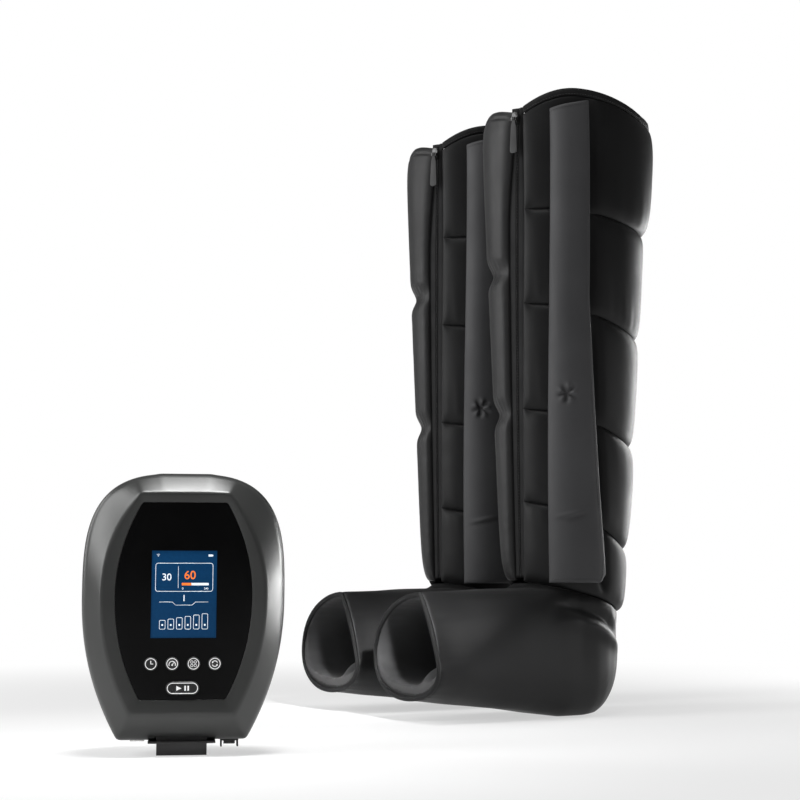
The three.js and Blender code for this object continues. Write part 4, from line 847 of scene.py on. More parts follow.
class Finishes:
    """Every finish of the set, by what it is."""

    NYLON = woven(
        "coated_nylon", 0.005, 0.008, roughness=(0.42, 0.5), relief_scale=1500, relief_depth=0.00005,
        specular=0.2, sheen=0.03, tone_scale=9,
    )
    # The wrap's coated nylon in a lighter copy, so the cushion's lobes read as lit: painted light.
    CUSHION = woven(
        "cushion_nylon", 0.009, 0.013, roughness=(0.42, 0.5), relief_scale=1500, relief_depth=0.00005,
        specular=0.35, sheen=0.12, tone_scale=9,
    )
    FOOT = Finish(
        "coated_nylon_foot", (0.006, 0.006, 0.0062), (0.009, 0.009, 0.0093), roughness=(0.42, 0.5),
        relief_scale=2200, relief_depth=0.00005, specular=0.22, sheen=0.04, tone_scale=9,
    )
    # The wrap's nylon made several times lighter, so the flap reads as facing the light: painted light.
    FLAP = woven(
        "flap_nylon", 0.046, 0.054, roughness=(0.5, 0.58), relief_scale=1300, relief_depth=0.00006,
        specular=0.22, sheen=0.05, tone_scale=12,
    )
    # Lighter than the outer nylon, so the inside of the toe mouth reads as lit: painted light.
    LINING = Finish(
        "mouth_lining", (0.035, 0.035, 0.036), (0.045, 0.045, 0.046), roughness=(0.55, 0.65),
        relief_scale=2200, relief_depth=0.00005, specular=0.2, sheen=0.1, tone_scale=9,
    )
    BINDING = woven(
        "ribbed_binding", 0.006, 0.009, roughness=(0.6, 0.7), relief_scale=900, relief_depth=0.0001,
        specular=0.2,
    )
    THREAD = Finish(
        "sewing_thread", (0.02, 0.02, 0.021), (0.035, 0.035, 0.036), roughness=(0.5, 0.6),
        relief_scale=3000,
    )
    ZIP_TAPE = woven(
        "zip_tape", 0.005, 0.0075, roughness=(0.6, 0.7), relief_scale=1100, relief_depth=0.0001,
        specular=0.2,
    )
    COIL = Finish(
        "zip_coil", (0.004, 0.004, 0.004), (0.009, 0.009, 0.009), roughness=(0.3, 0.4), relief_scale=3000,
    )
    ZIP_METAL = Finish(
        "zip_metal", (0.07, 0.07, 0.07), (0.11, 0.11, 0.11), roughness=(0.35, 0.45), relief_scale=3500,
        relief_depth=0.00002, metallic=0.8,
    )
    RUBBER = Finish(
        "soft_rubber", (0.015, 0.015, 0.0155), (0.021, 0.021, 0.0215), roughness=(0.55, 0.65),
        relief_scale=2000, relief_depth=0.00006,
    )
    CASE = Finish(
        "satin_case", (0.036, 0.037, 0.036), (0.044, 0.045, 0.044), roughness=(0.3, 0.35),
        relief_scale=4000, relief_depth=0.000006, metallic=0.3, tone_scale=14,
    )
    PANEL = Finish(
        "gloss_panel", (0.0028, 0.0028, 0.0029), (0.0036, 0.0036, 0.0038), roughness=(0.1, 0.14),
        relief_scale=300, relief_depth=0.000001, specular=0.08,
    )
    KEY = Finish(
        "key_plastic", (0.006, 0.006, 0.006), (0.009, 0.009, 0.009), roughness=(0.25, 0.35),
        relief_scale=4000, relief_depth=0.000004,
    )
    SOCKET = Finish(
        "socket_plastic", (0.007, 0.006, 0.0065), (0.011, 0.010, 0.0105), roughness=(0.4, 0.5),
        relief_scale=3000, relief_depth=0.00001,
    )
    STEEL = Finish(
        "plated_steel", (0.42, 0.42, 0.41), (0.56, 0.56, 0.55), roughness=(0.24, 0.36), relief_scale=2600,
        relief_depth=0.000008, metallic=1.0,
    )
    BOARD = Finish(
        "circuit_board", (0.006, 0.035, 0.015), (0.01, 0.06, 0.024), roughness=(0.3, 0.4), tone_scale=160,
    )
    GREY = Finish(
        "grey_plastic", (0.11, 0.11, 0.115), (0.15, 0.15, 0.155), roughness=(0.4, 0.5), relief_scale=2200,
        relief_depth=0.00002,
    )
    BATTERY = Finish(
        "battery_wrap", (0.008, 0.03, 0.13), (0.012, 0.045, 0.19), roughness=(0.22, 0.3), relief_scale=500,
        relief_depth=0.00003,
    )
    TUBE = Finish(
        "soft_tube", (0.42, 0.43, 0.42), (0.55, 0.56, 0.55), roughness=(0.2, 0.3), relief_scale=900,
        relief_depth=0.00002, transmission=0.25,
    )
    DISPLAY = Glow("display_field", (0.0032, 0.026, 0.072), 0.9)
    LIT_WHITE = Glow("display_white", (0.66, 0.72, 0.78), 0.85)
    LIT_ORANGE = Glow("display_orange", (0.75, 0.17, 0.03), 0.9)
    # Printed key symbols, given a glow so they read brighter than white print under the lamps: painted light.
    PRINT = Glow("key_print", (0.6, 0.6, 0.6), 0.75)


@dataclass
class Piece:
    """A modelled piece of a boot in the boot's own place, before it is copied to each boot."""

    obj: Object
    part: str
    finish: Finish
    slot: str
    body: str = "boot"
    stands_for: tuple[str, ...] = ()
    fill: float | None = None
    flat: tuple[float, float] | None = None
    fold: tuple[Vector, Vector] | None = None
    lining: Finish | None = None


@dataclass(frozen=True)
class Chamber:
    """An air chamber of the leg, on a seam that slopes along X."""

    name: str
    height: float
    seam_slope: float
    calf_bulge: float


@dataclass(frozen=True)
class Leg:
    """Leg of a boot: an ellipse that tapers from the thigh to the ankle.

    Angles run round it in degrees, from the shin, 0, by the outer side, 90, to the calf, 180.
    """

    thigh_half_length: float = 0.108
    thigh_half_width: float = 0.077
    ankle_z: float = 0.112
    ankle_half_length: float = 0.0675
    ankle_half_width: float = 0.057
    ankle_x: float = -0.015
    ankle_seam_z: float = 0.127
    chambers: tuple[Chamber, ...] = (
        Chamber("ankle", 0.0857, -0.2735, 0.0045),
        Chamber("calf", 0.1142, -0.305, 0.006),
        Chamber("knee", 0.1248, -0.178, 0.0045),
        Chamber("thigh_lower", 0.1188, -0.119, 0.004),
        Chamber("thigh_upper", 0.1295, 0.0, 0.009),
    )
    side_bulge: float = 0.003
    inner_side_bulge: float = 0.002
    seam_thickness: float = 0.008
    seam_sag: float = 0.012
    fill: float = 0.014
    wrap_end: float = 322.0
    rim_zip_drop: float = 0.014
    rim_peak_rise: float = 0.012
    rim_back_drop: float = 0.002
    rim_peak_angle: float = 67.0
    rim_back_angle: float = 127.0
    zip_top_angle: float = 21.6
    zip_bottom_angle: float = 3.0
    zip_bottom_rise: float = 0.026
    zip_tape_angle: float = 6.4
    band_left: float = 7.0
    band_right: float = 3.0
    flap_left_top: float = 46.0
    flap_left_bottom: float = 48.5

    @property
    def thigh_z(self) -> float:
        """Height of the leg's widest section."""
        return self.ankle_seam_z + sum(chamber.height for chamber in self.chambers)

    @property
    def zip_bottom_z(self) -> float:
        """Height of the zip's lower end."""
        return self.ankle_seam_z + self.zip_bottom_rise

    @property
    def rim_zip_z(self) -> float:
        """Height of the rim beside the zip."""
        return self.thigh_z - self.rim_zip_drop

    def seams(self) -> list[tuple[float, float]]:
        """Height at X = 0 and slope of the seam under each chamber."""
        made, height = [], self.ankle_seam_z
        for chamber in self.chambers:
            made.append((height, chamber.seam_slope))
            height += chamber.height
        return made

    def section(self, z: Values) -> tuple[Values, Values, Values]:
        """Half length, half width and middle of the leg at a height."""
        share = (z - self.ankle_z) / (self.thigh_z - self.ankle_z)
        return (
            mix(self.ankle_half_length, self.thigh_half_length, share),
            mix(self.ankle_half_width, self.thigh_half_width, share),
            mix(self.ankle_x, 0.0, share),
        )

    def point(self, angle: Values, z: Values, offset: Values) -> np.ndarray:
        """Points round the leg.

        Args:
            angle: Degrees round the leg.
            z: Height.
            offset: Distance out of the leg's surface.

        Returns:
            An array with the points along its last axis.
        """
        angle, z, offset = np.broadcast_arrays(angle, z, offset)
        half_length, half_width, x = self.section(z)
        cos, sin = np.cos(np.radians(angle)), np.sin(np.radians(angle))
        out_x, out_y = -half_width * cos, -half_length * sin
        size = np.hypot(out_x, out_y)
        return np.stack(
            [x - half_length * cos + out_x / size * offset, -half_width * sin + out_y / size * offset, z],
            axis=-1,
        )

    def normal(self, angle: Values, z: Values) -> np.ndarray:
        """Directions out of the leg's surface."""
        return self.point(angle, z, 1.0) - self.point(angle, z, 0.0)

    def degrees_for(self, width: Values, z: Values) -> Values:
        """Degrees round the leg that a width takes up, near the outer side."""
        return np.degrees(width / (0.97 * self.section(z)[0]))

    def height_share(self, z: Values) -> Values:
        """Share of the way from the zip's lower end to the thigh."""
        return (z - self.zip_bottom_z) / (self.thigh_z - self.zip_bottom_z)

    def zip_angle(self, z: Values) -> Values:
        """Angle of the zip's shin-side edge."""
        return mix(self.zip_bottom_angle, self.zip_top_angle, self.height_share(z))

    def band_spread(self, z: Values) -> Values:
        """Share of the zip band's full width: less near the slider at the top."""
        return 1 - smooth(0.72, 0.97, self.height_share(z))

    def band_start(self, z: Values) -> Values:
        """Angle where the cushion ends beside the zip."""
        return self.zip_angle(z) - self.band_left * self.band_spread(z)

    def wrap_start(self, z: Values) -> Values:
        """Angle where the wrap begins beside the zip."""
        return self.zip_angle(z) + self.zip_tape_angle + self.band_right * self.band_spread(z)

    def flap_left(self, z: Values) -> Values:
        """Angle of the flap's hinge edge."""
        return mix(self.flap_left_bottom, self.flap_left_top, self.height_share(z))

    def seam_height(self, seam: tuple[float, float], angle: Values) -> Values:
        """Height of a sloping seam at an angle.

        Args:
            seam: Its height at X = 0 and its slope.
            angle: Degrees round the leg.

        Returns:
            The height.
        """
        height, slope = seam
        half_length, _, x = self.section(height)
        sag = self.seam_sag * smooth(45, 140, angle) * (1 - smooth(220, 320, angle))
        sag = sag * (height > self.ankle_seam_z)
        return height + slope * (x - half_length * np.cos(np.radians(angle))) - sag

    def rim_height(self, angle: Values) -> Values:
        """Height of the top rim, which peaks over the outer side.

        Args:
            angle: Degrees round the leg.

        Returns:
            The height.
        """
        turn = np.clip(angle, self.zip_top_angle, self.rim_back_angle) - self.rim_peak_angle
        rising = turn < 0
        low = np.where(rising, self.rim_zip_z, self.thigh_z - self.rim_back_drop)
        span = np.where(
            rising, self.rim_peak_angle - self.zip_top_angle, self.rim_back_angle - self.rim_peak_angle
        )
        peak = self.thigh_z + self.rim_peak_rise
        fullness = np.where(rising, 1.05, 1.35)
        return mix(low, peak, np.maximum(0.0, np.cos(turn / span * (np.pi / 2))) ** fullness)

    def bulge(self, angle: Values, calf_bulge: float) -> Values:
        """How far a chamber swells at an angle.

        Args:
            angle: Round the leg, in degrees.
            calf_bulge: How far it swells at the calf.

        Returns:
            The swell, in metres.
        """
        calf = smooth(103, 145, angle) * (1 - smooth(205, 245, angle))
        side = mix(self.side_bulge, self.inner_side_bulge, smooth(180, 240, angle))
        return mix(side, calf_bulge, calf)

    def wrap_edge(self, u: Values, start_z: float, height_at: Callable) -> tuple[Values, Values]:
        """Angle and height of an edge across the wrap, where each depends on the other.

        Args:
            u: Share of the way round the wrap.
            start_z: A height to start from.
            height_at: Gives the edge's height at an angle.

        Returns:
            The angle and the height.
        """
        z = start_z + 0.0 * u
        angle = z
        for _ in range(6):
            angle = mix(self.wrap_start(z) + 0.3 * MM, self.wrap_end, u)
            z = height_at(angle)
        return angle, z


@dataclass
class LegWrap:
    """The wrap of five air chambers, its top binding and the seams between."""

    leg: Leg
    flap: "HoseFlap"
    columns: int = 200
    rows: int = 38
    low_fold: tuple[float, float] = (0.0011, 0.016)
    high_fold: tuple[float, float] = (0.0009, 0.014)
    side_fold: tuple[float, float] = (0.0006, 0.02)
    softness: float = 0.0006
    pinch: float = 0.0036
    pinch_reach: float = 0.0045
    valley: float = 0.008
    valley_turn: float = 4.5
    valley_spread: float = 4.5
    binding_height: float = 0.010
    binding_skin: float = 0.0011
    binding_girth: float = 0.0925
    binding_ripple: float = 0.00025
    binding_overhang: float = 0.001
    binding_gap: float = 0.0006
    seam_gap: float = 0.00002

    def edge(self, index: int, u: Values) -> tuple[Values, Values]:
        """Angle and height of the edge above a chamber's index, the rim's binding at the top.

        Args:
            index: Number of the seam, from the ankle's.
            u: Share of the way round the wrap.

        Returns:
            The angle and the height.
        """
        if index == len(self.leg.chambers):
            drop = self.binding_height + self.binding_gap
            return self.leg.wrap_edge(u, self.leg.rim_zip_z, lambda angle: self.leg.rim_height(angle) - drop)
        seam = self.leg.seams()[index]
        return self.leg.wrap_edge(u, seam[0], lambda angle: self.leg.seam_height(seam, angle))

    def chamber(self, index: int) -> Piece:
        """An inflated chamber with folds along its two seams and its edge at the zip.

        Args:
            index: Its number, from the ankle's.

        Returns:
            The chamber.
        """
        leg, chamber = self.leg, self.leg.chambers[index]
        topmost = index + 1 == len(leg.chambers)
        u, v = np.meshgrid(edge_steps(self.columns, 0.35), edge_steps(self.rows, 0.75))
        low_angle, low_z = self.edge(index, u)
        high_angle, high_z = self.edge(index + 1, u)
        angle = mix(low_angle, high_angle, v)
        z = mix(low_z + self.seam_gap, high_z - self.seam_gap, v)
        half_length, half_width, _ = leg.section(z)
        girth = np.radians(angle) * (half_length + half_width) / 2
        tall = high_z - low_z
        swell = crown(u, 12) * crown(v, 2.8)
        folds = Folds(40 + index, *self.low_fold).height(girth, v * tall)
        if not topmost:
            folds = folds + Folds(60 + index, *self.high_fold).height(girth, (1 - v) * tall)
        folds = folds + Folds(80 + index, *self.side_fold).height(z, u * girth[0, -1])
        soft = self.softness * np.sin(girth / 0.045 + index) * np.sin(z / 0.03 + 2 * index) * swell
        drawn_in = np.exp(-v * tall / self.pinch_reach)
        if not topmost:
            drawn_in = drawn_in + np.exp((v - 1) * tall / self.pinch_reach)
        valley = (angle - self.flap.right_edge(z) - self.valley_turn) / self.valley_spread
        valley = self.valley * np.exp(-(valley**2)) * smooth(-0.02, 0.01, z - self.flap.bottom_z)
        outer_offset = swell * (leg.bulge(angle, chamber.calf_bulge) + folds + soft - valley)
        outer_offset = outer_offset - self.pinch * drawn_in * smooth(0, 0.03, u)
        inner_offset = -leg.seam_thickness - swell * leg.fill
        slopes = [leg.seams()[index][1], 0.0 if topmost else leg.seams()[index + 1][1]]
        faces = []
        for offset in (outer_offset, inner_offset):
            points = leg.point(angle, z, offset)
            lean = mix(slopes[0], slopes[1], v) * (points[..., 0] - leg.point(angle, z, 0.0)[..., 0])
            points[..., 2] += lean
            faces.append(points)
        name = f"{chamber.name}_chamber"
        obj = shell(name, *faces, np.stack([girth, z], -1))
        return Piece(obj, f"{name}_skin", Finishes.NYLON, "nylon", stands_for=(name,), fill=0.9)

    def binding(self) -> list[Piece]:
        """Folded tape over the top rim, with a stitched row along its lower edge."""
        leg = self.leg
        u, t = np.meshgrid(np.linspace(0, 1, self.columns + 1), np.linspace(0, 1, 15))
        angle, rim = leg.wrap_edge(u, leg.rim_zip_z, leg.rim_height)
        half = leg.seam_thickness / 2 + self.binding_overhang
        middle_offset = -half + self.binding_overhang
        flat = self.binding_height - half
        girth = np.radians(angle) * self.binding_girth
        ripple = self.binding_ripple * np.sin(girth / 0.0021) * np.sin(girth / 0.017)
        up, down = t < 0.2, t > 0.8
        over = ~(up | down)
        arc = np.clip((t - 0.2) / 0.6, 0, 1) * np.pi
        drop = np.where(over, half * (1 - np.sin(arc)), 0.0)
        drop = np.where(up, mix(self.binding_height, half, t / 0.2), drop)
        drop = np.where(down, mix(half, self.binding_height, (t - 0.8) / 0.2), drop)
        offset = middle_offset + half * np.cos(np.where(over, arc, np.where(up, 0, np.pi)))
        edge = 1 - np.exp(-np.abs(drop - self.binding_height) / 0.001)
        outer = leg.point(angle, rim - drop, offset + ripple * np.cos(np.pi * t) + 0.0004 * (edge - 1))
        inward = leg.point(angle, rim - np.maximum(drop, half), middle_offset) - outer
        reach = np.maximum(np.linalg.norm(inward, axis=-1), 1e-6)
        inner = outer + inward * np.minimum(1.0, self.binding_skin / reach)[..., None]
        uv = np.stack([girth, t * (2 * flat + np.pi * half)], -1)
        obj = shell("top_binding", outer, inner, uv)
        tape = Piece(obj, "rim_binding", Finishes.BINDING, "binding", stands_for=("top_binding",))
        angle, rim = leg.wrap_edge(np.linspace(0.004, 0.996, 400), leg.rim_zip_z, leg.rim_height)
        line = leg.point(angle, rim - self.binding_height + 0.0019, self.binding_overhang + 0.0001)
        row = stitch_row("rim_stitches", line, leg.normal(angle, rim))
        return [tape, Piece(row, "rim_stitches", Finishes.THREAD, "binding")]

    def build(self) -> list[Piece]:
        """All pieces of the wrap."""
        return [self.chamber(i) for i in range(len(self.leg.chambers))] + self.binding()


@dataclass
class ShinCushion:
    """Long padded cushion between the wrap's far edge and the zip, drawn in at two notches."""

    leg: Leg
    start: float = -36.0
    zip_gap: float = 0.6
    top_rise: float = 0.005
    top_dome: float = 0.008
    crest: float = 0.55
    crown_height: float = 0.0075
    edge_depth: float = 0.003
    depth: float = 0.019
    notches: tuple[float, ...] = (0.35, 0.65)
    notch_depth: float = 0.007
    notch_half: float = 0.026
    seam_drop: float = 0.009
    seam_depth: float = 0.0022
    seam_half: float = 0.0016
    girth: float = 0.085
    notch_fold: tuple[float, float, float] = (0.0011, 0.02, 0.008)
    edge_fold: tuple[float, float] = (0.0007, 0.012)
    columns: int = 56
    rows: int = 300

    def build(self) -> list[Piece]:
        """The cushion."""
        leg = self.leg
        bottom = leg.seam_height(leg.seams()[0], 0.0) + 0.3 * MM
        top = leg.rim_zip_z + self.top_rise
        u, v = np.meshgrid(edge_steps(self.columns, 0.6), edge_steps(self.rows, 0.5))
        flat_z = mix(bottom, top, v)
        angle = mix(self.start, leg.band_start(flat_z) - self.zip_gap, u)
        notch = np.zeros_like(v)
        folds = np.zeros_like(v)
        across = u * self.girth
        for i, share in enumerate(self.notches):
            away = np.abs(flat_z - mix(bottom, top, share))
            notch = np.maximum(notch, (1 - smooth(0, self.notch_half, away)) ** 2)
            folds = folds + Folds(20 + i, *self.notch_fold).height(across, away)
        ends = crown(v, 14)
        swell = crown(u, 2.4) * ends
        edge = Folds(31, *self.edge_fold).height(flat_z, (1 - u) * self.girth)
        edge = edge + Folds(32, *self.edge_fold).height(flat_z, across)
        dome = 1 - smooth(0.0, 0.62, np.abs(u - self.crest))
        near_top = smooth(0.9, 1.0, v)
        z = flat_z - self.top_dome * (1 - dome) * near_top
        crest = (self.crown_height + self.edge_depth) * swell
        outer_offset = crest - self.edge_depth - self.notch_depth * notch * swell + (folds + edge) * swell
        below = top - flat_z - self.seam_drop
        outer_offset = outer_offset - self.seam_depth * np.exp(-((below / self.seam_half) ** 2)) * swell
        inner_offset = mix(-leg.seam_thickness, -self.depth, crown(u, 4) * ends)
        outer = leg.point(angle, z, outer_offset)
        inner = leg.point(angle, z, inner_offset)
        obj = shell("shin_cushion", outer, inner, np.stack([across, z], -1))
        return [Piece(obj, "shin_cushion_skin", Finishes.CUSHION, "nylon", "boot", ("shin_cushion",), 0.8)]


@dataclass
class Zip:
    """Coil zip down the shin: two tapes, the coil, the slider and its pull."""

    leg: Leg
    top_drop: float = -0.0035
    depth: float = 0.004
    thickness: float = 0.0024
    tuck: float = 4.5
    tape_girth: float = 0.012
    shoulder: float = 0.0016
    coil_groove: float = 0.0004
    edge_drop: float = 0.0014
    coil_share: float = 0.35
    coil_pitch: float = 0.0017
    coil_height: float = 0.001
    turn_radius: float = 0.00045
    turn_length: float = 0.0017

    def tape(self) -> Piece:
        """The woven tape, with a dark step where the coil lies."""
        leg = self.leg
        u, v = np.meshgrid(edge_steps(44, 0.1), np.linspace(0, 1, 160))
        z = mix(leg.zip_bottom_z, leg.rim_zip_z - self.top_drop, v)
        start = leg.band_start(z) - self.tuck
        angle = mix(start, leg.wrap_start(z) - 0.3, u)
        coil = leg.zip_angle(z) + self.coil_share * leg.zip_tape_angle
        away = (angle - coil) / leg.zip_tape_angle
        rise = self.shoulder * smooth(0.16, 0.3, np.abs(away))
        rise = rise - self.coil_groove * np.exp(-((away / 0.06) ** 2))
        rise = rise - self.edge_drop * (1 - smooth(0, 2.0, angle - start - self.tuck))
        sides = -0.0005 * (1 - crown(u, 10))
        outer = leg.point(angle, z, -self.depth + rise + sides)
        inner = leg.point(angle, z, -self.depth - self.thickness)
        obj = shell("zip_track", outer, inner, np.stack([u * self.tape_girth, z], -1))
        return Piece(obj, "zip_tape", Finishes.ZIP_TAPE, "zip_tape", stands_for=("zip_track",))

    def coil(self) -> Piece:
        """The coil's turns, as two rows that lie in each other."""
        leg = self.leg
        size = {"vertices": 8, "radius": self.turn_radius, "depth": self.turn_length}
        unit = add(bpy.ops.mesh.primitive_cylinder_add, "coil_turn", **size)
        unit.data.transform(Matrix.Rotation(math.radians(90), 4, "X"))
        bevel(unit, 0.00015, 1)
        z = np.arange(leg.zip_bottom_z + 0.001, leg.rim_zip_z - self.top_drop, self.coil_pitch)
        side = np.where(np.arange(len(z)) % 2 == 0, 0.42, 0.58)
        angle = leg.zip_angle(z) + side * self.coil_share * leg.zip_tape_angle
        lift = -self.depth + self.coil_height - 0.0003
        places = leg.point(angle, z, lift)
        tangents = np.gradient(leg.point(leg.zip_angle(z), z, lift), axis=0)
        obj = array_along("zip_coil", unit, places, tangents, leg.normal(angle, z))
        return Piece(obj, "zip_coil", Finishes.COIL, "zip_tape")

    def build(self) -> list[Piece]:
        """All pieces that stay with the boot."""
        return [self.tape(), self.coil()]


@dataclass
class HoseFlap:
    """Flap of doubled cloth over the air tubes, hinged along its sewn edge."""

    leg: Leg
    bottom_rise: float = 0.020
    top_drop: float = 0.002
    slant: float = 0.010
    width: float = 0.0438
    foot_width: float = 0.0605
    flare: float = 0.6
    thickness: float = 0.003
    low_lift: float = 0.0036
    high_lift: float = 0.0100
    edge_drop: float = 0.0008
    top_turn: float = 1.2
    low_turn: float = -7.0
    fold_before: float = 0.002
    fold_after: float = 0.005
    rise_share: float = 0.45
    puff: float = 0.0035
    corner: float = 0.009
    hem: float = 0.005
    hem_height: float = 0.0005
    thread_inset: float = 0.0012
    thread_sink: float = 0.0004
    dent_across: float = 0.0195
    dent_z: float = 0.357
    dent_depth: float = 0.0046
    dent_reach: float = 0.0045
    rays: int = 5
    ray_height: float = 0.0025
    ray_distance: float = 0.0055
    crease_across: float = 0.024
    crease_z: float = 0.2235
    crease_height: float = 0.0023
    crease_half_length: float = 0.011
    crease_slope: float = 0.24
    columns: int = 48
    rows: int = 330

    @property
    def bottom_z(self) -> float:
        """Height of its lower edge."""
        return self.leg.ankle_seam_z + self.bottom_rise

    @property
    def top_z(self) -> float:
        """Height of its upper edge at the hinge."""
        return self.leg.rim_zip_z - self.top_drop

    def width_at(self, z: Values) -> Values:
        """Its width, which grows below the flare.

        Args:
            z: Height.

        Returns:
            The width there.
        """
        flare_z = mix(self.bottom_z, self.top_z, self.flare)
        below = np.maximum(0.0, flare_z - z) / (flare_z - self.bottom_z)
        return mix(self.width, self.foot_width, below)

    def left_edge(self, z: Values) -> Values:
        """Angle of its sewn edge, which leans outward near the top."""
        turn = mix(self.low_turn, self.top_turn, smooth(0.0, 1.0, self.leg.height_share(z)))
        return self.leg.flap_left(z) + turn

    def right_edge(self, z: Values) -> Values:
        """Angle of its free edge."""
        return self.left_edge(z) + self.leg.degrees_for(self.width_at(z), z)

    def fold(self) -> tuple[Vector, Vector]:
        """Points on the two sides of the hinge, where the cloth bends as the flap opens; nothing here opens
        or bends it.
        """
        leg = self.leg
        low, high = (Vector(leg.point(leg.flap_left(z), z, 0.0)) for z in (self.bottom_z, self.top_z))
        hinge, middle = (high - low).normalized(), (low + high) / 2
        aside = Vector(leg.point(leg.flap_left(middle.z) + 5, middle.z, 0.0)) - middle
        aside = (aside - hinge * aside.dot(hinge)).normalized()
        return middle - aside * self.fold_before, middle + aside * self.fold_after

    def grid(self, u: Values, v: Values) -> tuple[Values, Values, Values]:
        """Places on the flap's underside.

        Args:
            u: Share of the way from the sewn edge to the free one.
            v: Share of the way from the lower edge to the upper one.

        Returns:
            The angle and the height there, and the lift off the leg.
        """
        corner = self.corner * smooth(0.8, 1.0, u) ** 2
        z = mix(self.bottom_z + corner, self.top_z + self.slant * u, v)
        angle = mix(self.left_edge(z), self.right_edge(z), u)
        rise = np.sin(np.pi / 2 * np.minimum(1.0, u / self.rise_share))
        lift = mix(self.low_lift, self.high_lift, rise) - self.edge_drop * smooth(0.85, 1, u)
        return angle, z, lift

    def build(self) -> list[Piece]:
        """The flap, with a raised hem and the row of stitches inside it."""
        leg = self.leg
        u, v = np.meshgrid(edge_steps(self.columns, 0.3), edge_steps(self.rows, 0.3))
        angle, z, lift = self.grid(u, v)
        wide = self.width_at(z)
        to_edge = np.minimum((1 - u) * wide, np.minimum(z - self.bottom_z, self.top_z + self.slant * u - z))
        hem = self.hem_height * (1 - smooth(self.hem - 0.0006, self.hem + 0.0006, to_edge))
        sewn = -self.thread_sink * np.exp(-(((to_edge - self.hem + self.thread_inset) / 0.0008) ** 2))
        wave = 0.0005 * np.sin(z / 0.041) * np.sin(u * 2.6 + z / 0.09) + 0.0003 * np.sin(z / 0.017 + 3 * u)
        dent = self.dent(u * wide, z)
        soft = 0.0018 * (1 - crown(u, 8)) + 0.0004 * (1 - crown(v, 60))
        puff = self.puff * crown(u, 2) * crown(v, 30)
        raised = self.thickness + hem + sewn + puff + wave * crown(u, 6) + dent - soft
        outer = leg.point(angle, z, lift + raised)
        inner = leg.point(angle, z, lift + 0.2 * MM)
        obj = shell("hose_flap", outer, inner, np.stack([u * wide, z], -1))
        flat = ((self.width + self.foot_width) / 2, self.top_z - self.bottom_z)
        panel = Piece(obj, "flap_panel", Finishes.FLAP, "flap_nylon", "flap", ("hose_flap",))
        panel.flat, panel.fold = flat, self.fold()
        return [panel, self.stitches()]

    def dent(self, across: Values, z: Values) -> Values:
        """A small pucker where a fastener pulls the cloth in, and a faint crease below it.

        Args:
            across: Distance from the sewn edge.
            z: Height.

        Returns:
            How far the cloth stands out there.
        """
        aside, above = across - self.dent_across, z - self.dent_z
        pucker = np.hypot(aside, above * 0.8)
        rays = np.sin(self.rays * np.arctan2(above, aside) + 0.6)
        pulled = self.ray_height * rays * np.exp(-(((pucker - self.ray_distance) / 0.0035) ** 2))
        pulled = pulled - self.dent_depth * np.exp(-((pucker / self.dent_reach) ** 2))
        aside = across - self.crease_across
        crease = z - self.crease_z - self.crease_slope * aside
        fade = np.exp(-((aside / self.crease_half_length) ** 2))
        ridge = np.exp(-((crease / 0.0022) ** 2)) - 0.6 * np.exp(-(((crease + 0.0045) / 0.003) ** 2))
        return pulled + self.crease_height * ridge * fade

    def stitches(self) -> Piece:
        """The row of stitches round the flap's free edges."""
        inset = self.hem - self.thread_inset
        low_v = inset / (self.top_z - self.bottom_z)
        free_u = 1 - inset / self.width
        route = [(u, low_v) for u in np.linspace(0.02, free_u - 0.06, 30)]
        for turn in np.linspace(0.5, 1.5, 6):
            route.append((free_u - 0.06 * math.cos(turn), low_v + 0.006 * (1 - math.cos(turn))))
        route += [(free_u, v) for v in np.linspace(low_v + 0.02, 1 - low_v, 200)]
        route += [(u, 1 - low_v) for u in np.linspace(free_u - 0.04, 0.02, 30)]
        u, v = np.array(route).T
        angle, z, lift = self.grid(u, v)
        raised = self.thickness + self.puff * crown(u, 2) * crown(v, 30)
        line = self.leg.point(angle, z, lift + raised + 0.0001)
        row = stitch_row("flap_stitches", line, self.leg.normal(angle, z))
        return Piece(row, "flap_stitches", Finishes.THREAD, "flap_nylon", "flap", fold=self.fold())


@dataclass
class AirTubes:
    """Soft air tubes side by side under the flap, joined by a web."""

    flap: HoseFlap
    count: int = 5
    radius: float = 0.0025
    pitch: float = 0.0056
    start: float = 0.014
    bed: float = 0.0033
    web: float = 0.0015
    bottom_rise: float = 0.021
    inlet_height: float = 0.030
    inlet_drop: float = 0.014
    gap: float = 0.0003
    rings: int = 60

    def section(self) -> list[tuple[float, float]]:
        """Outline across the tubes: distance from the hinge edge, and lift off the leg."""
        reach = math.asin(self.web / 2 / self.radius)
        upper = []
        for i in range(self.count):
            middle = self.start + (i + 0.5) * self.pitch
            for turn in np.linspace(math.pi - reach, reach, 9):
                upper.append((middle + self.radius * math.cos(turn), self.radius * math.sin(turn)))
        lower = [(across, -lift) for across, lift in reversed(upper)]
        return [(across, self.bed + self.radius + lift) for across, lift in upper + lower]

    def build(self) -> Piece:
        """The tubes, from the ankle up to the inlet block."""
        leg = self.flap.leg
        across, lift = np.array(self.section()).T
        low = self.flap.bottom_z + self.bottom_rise
        high = self.flap.top_z - self.inlet_height - self.inlet_drop - self.gap
        rings = []
        for z in np.linspace(low, high, self.rings):
            rings.append(leg.point(self.flap.left_edge(z) + leg.degrees_for(across, z), z, lift))
        obj = shade(loft("air_tubes", rings), 50)
        return Piece(obj, "air_tube_bundle", Finishes.TUBE, "tube", stands_for=("air_tubes",))


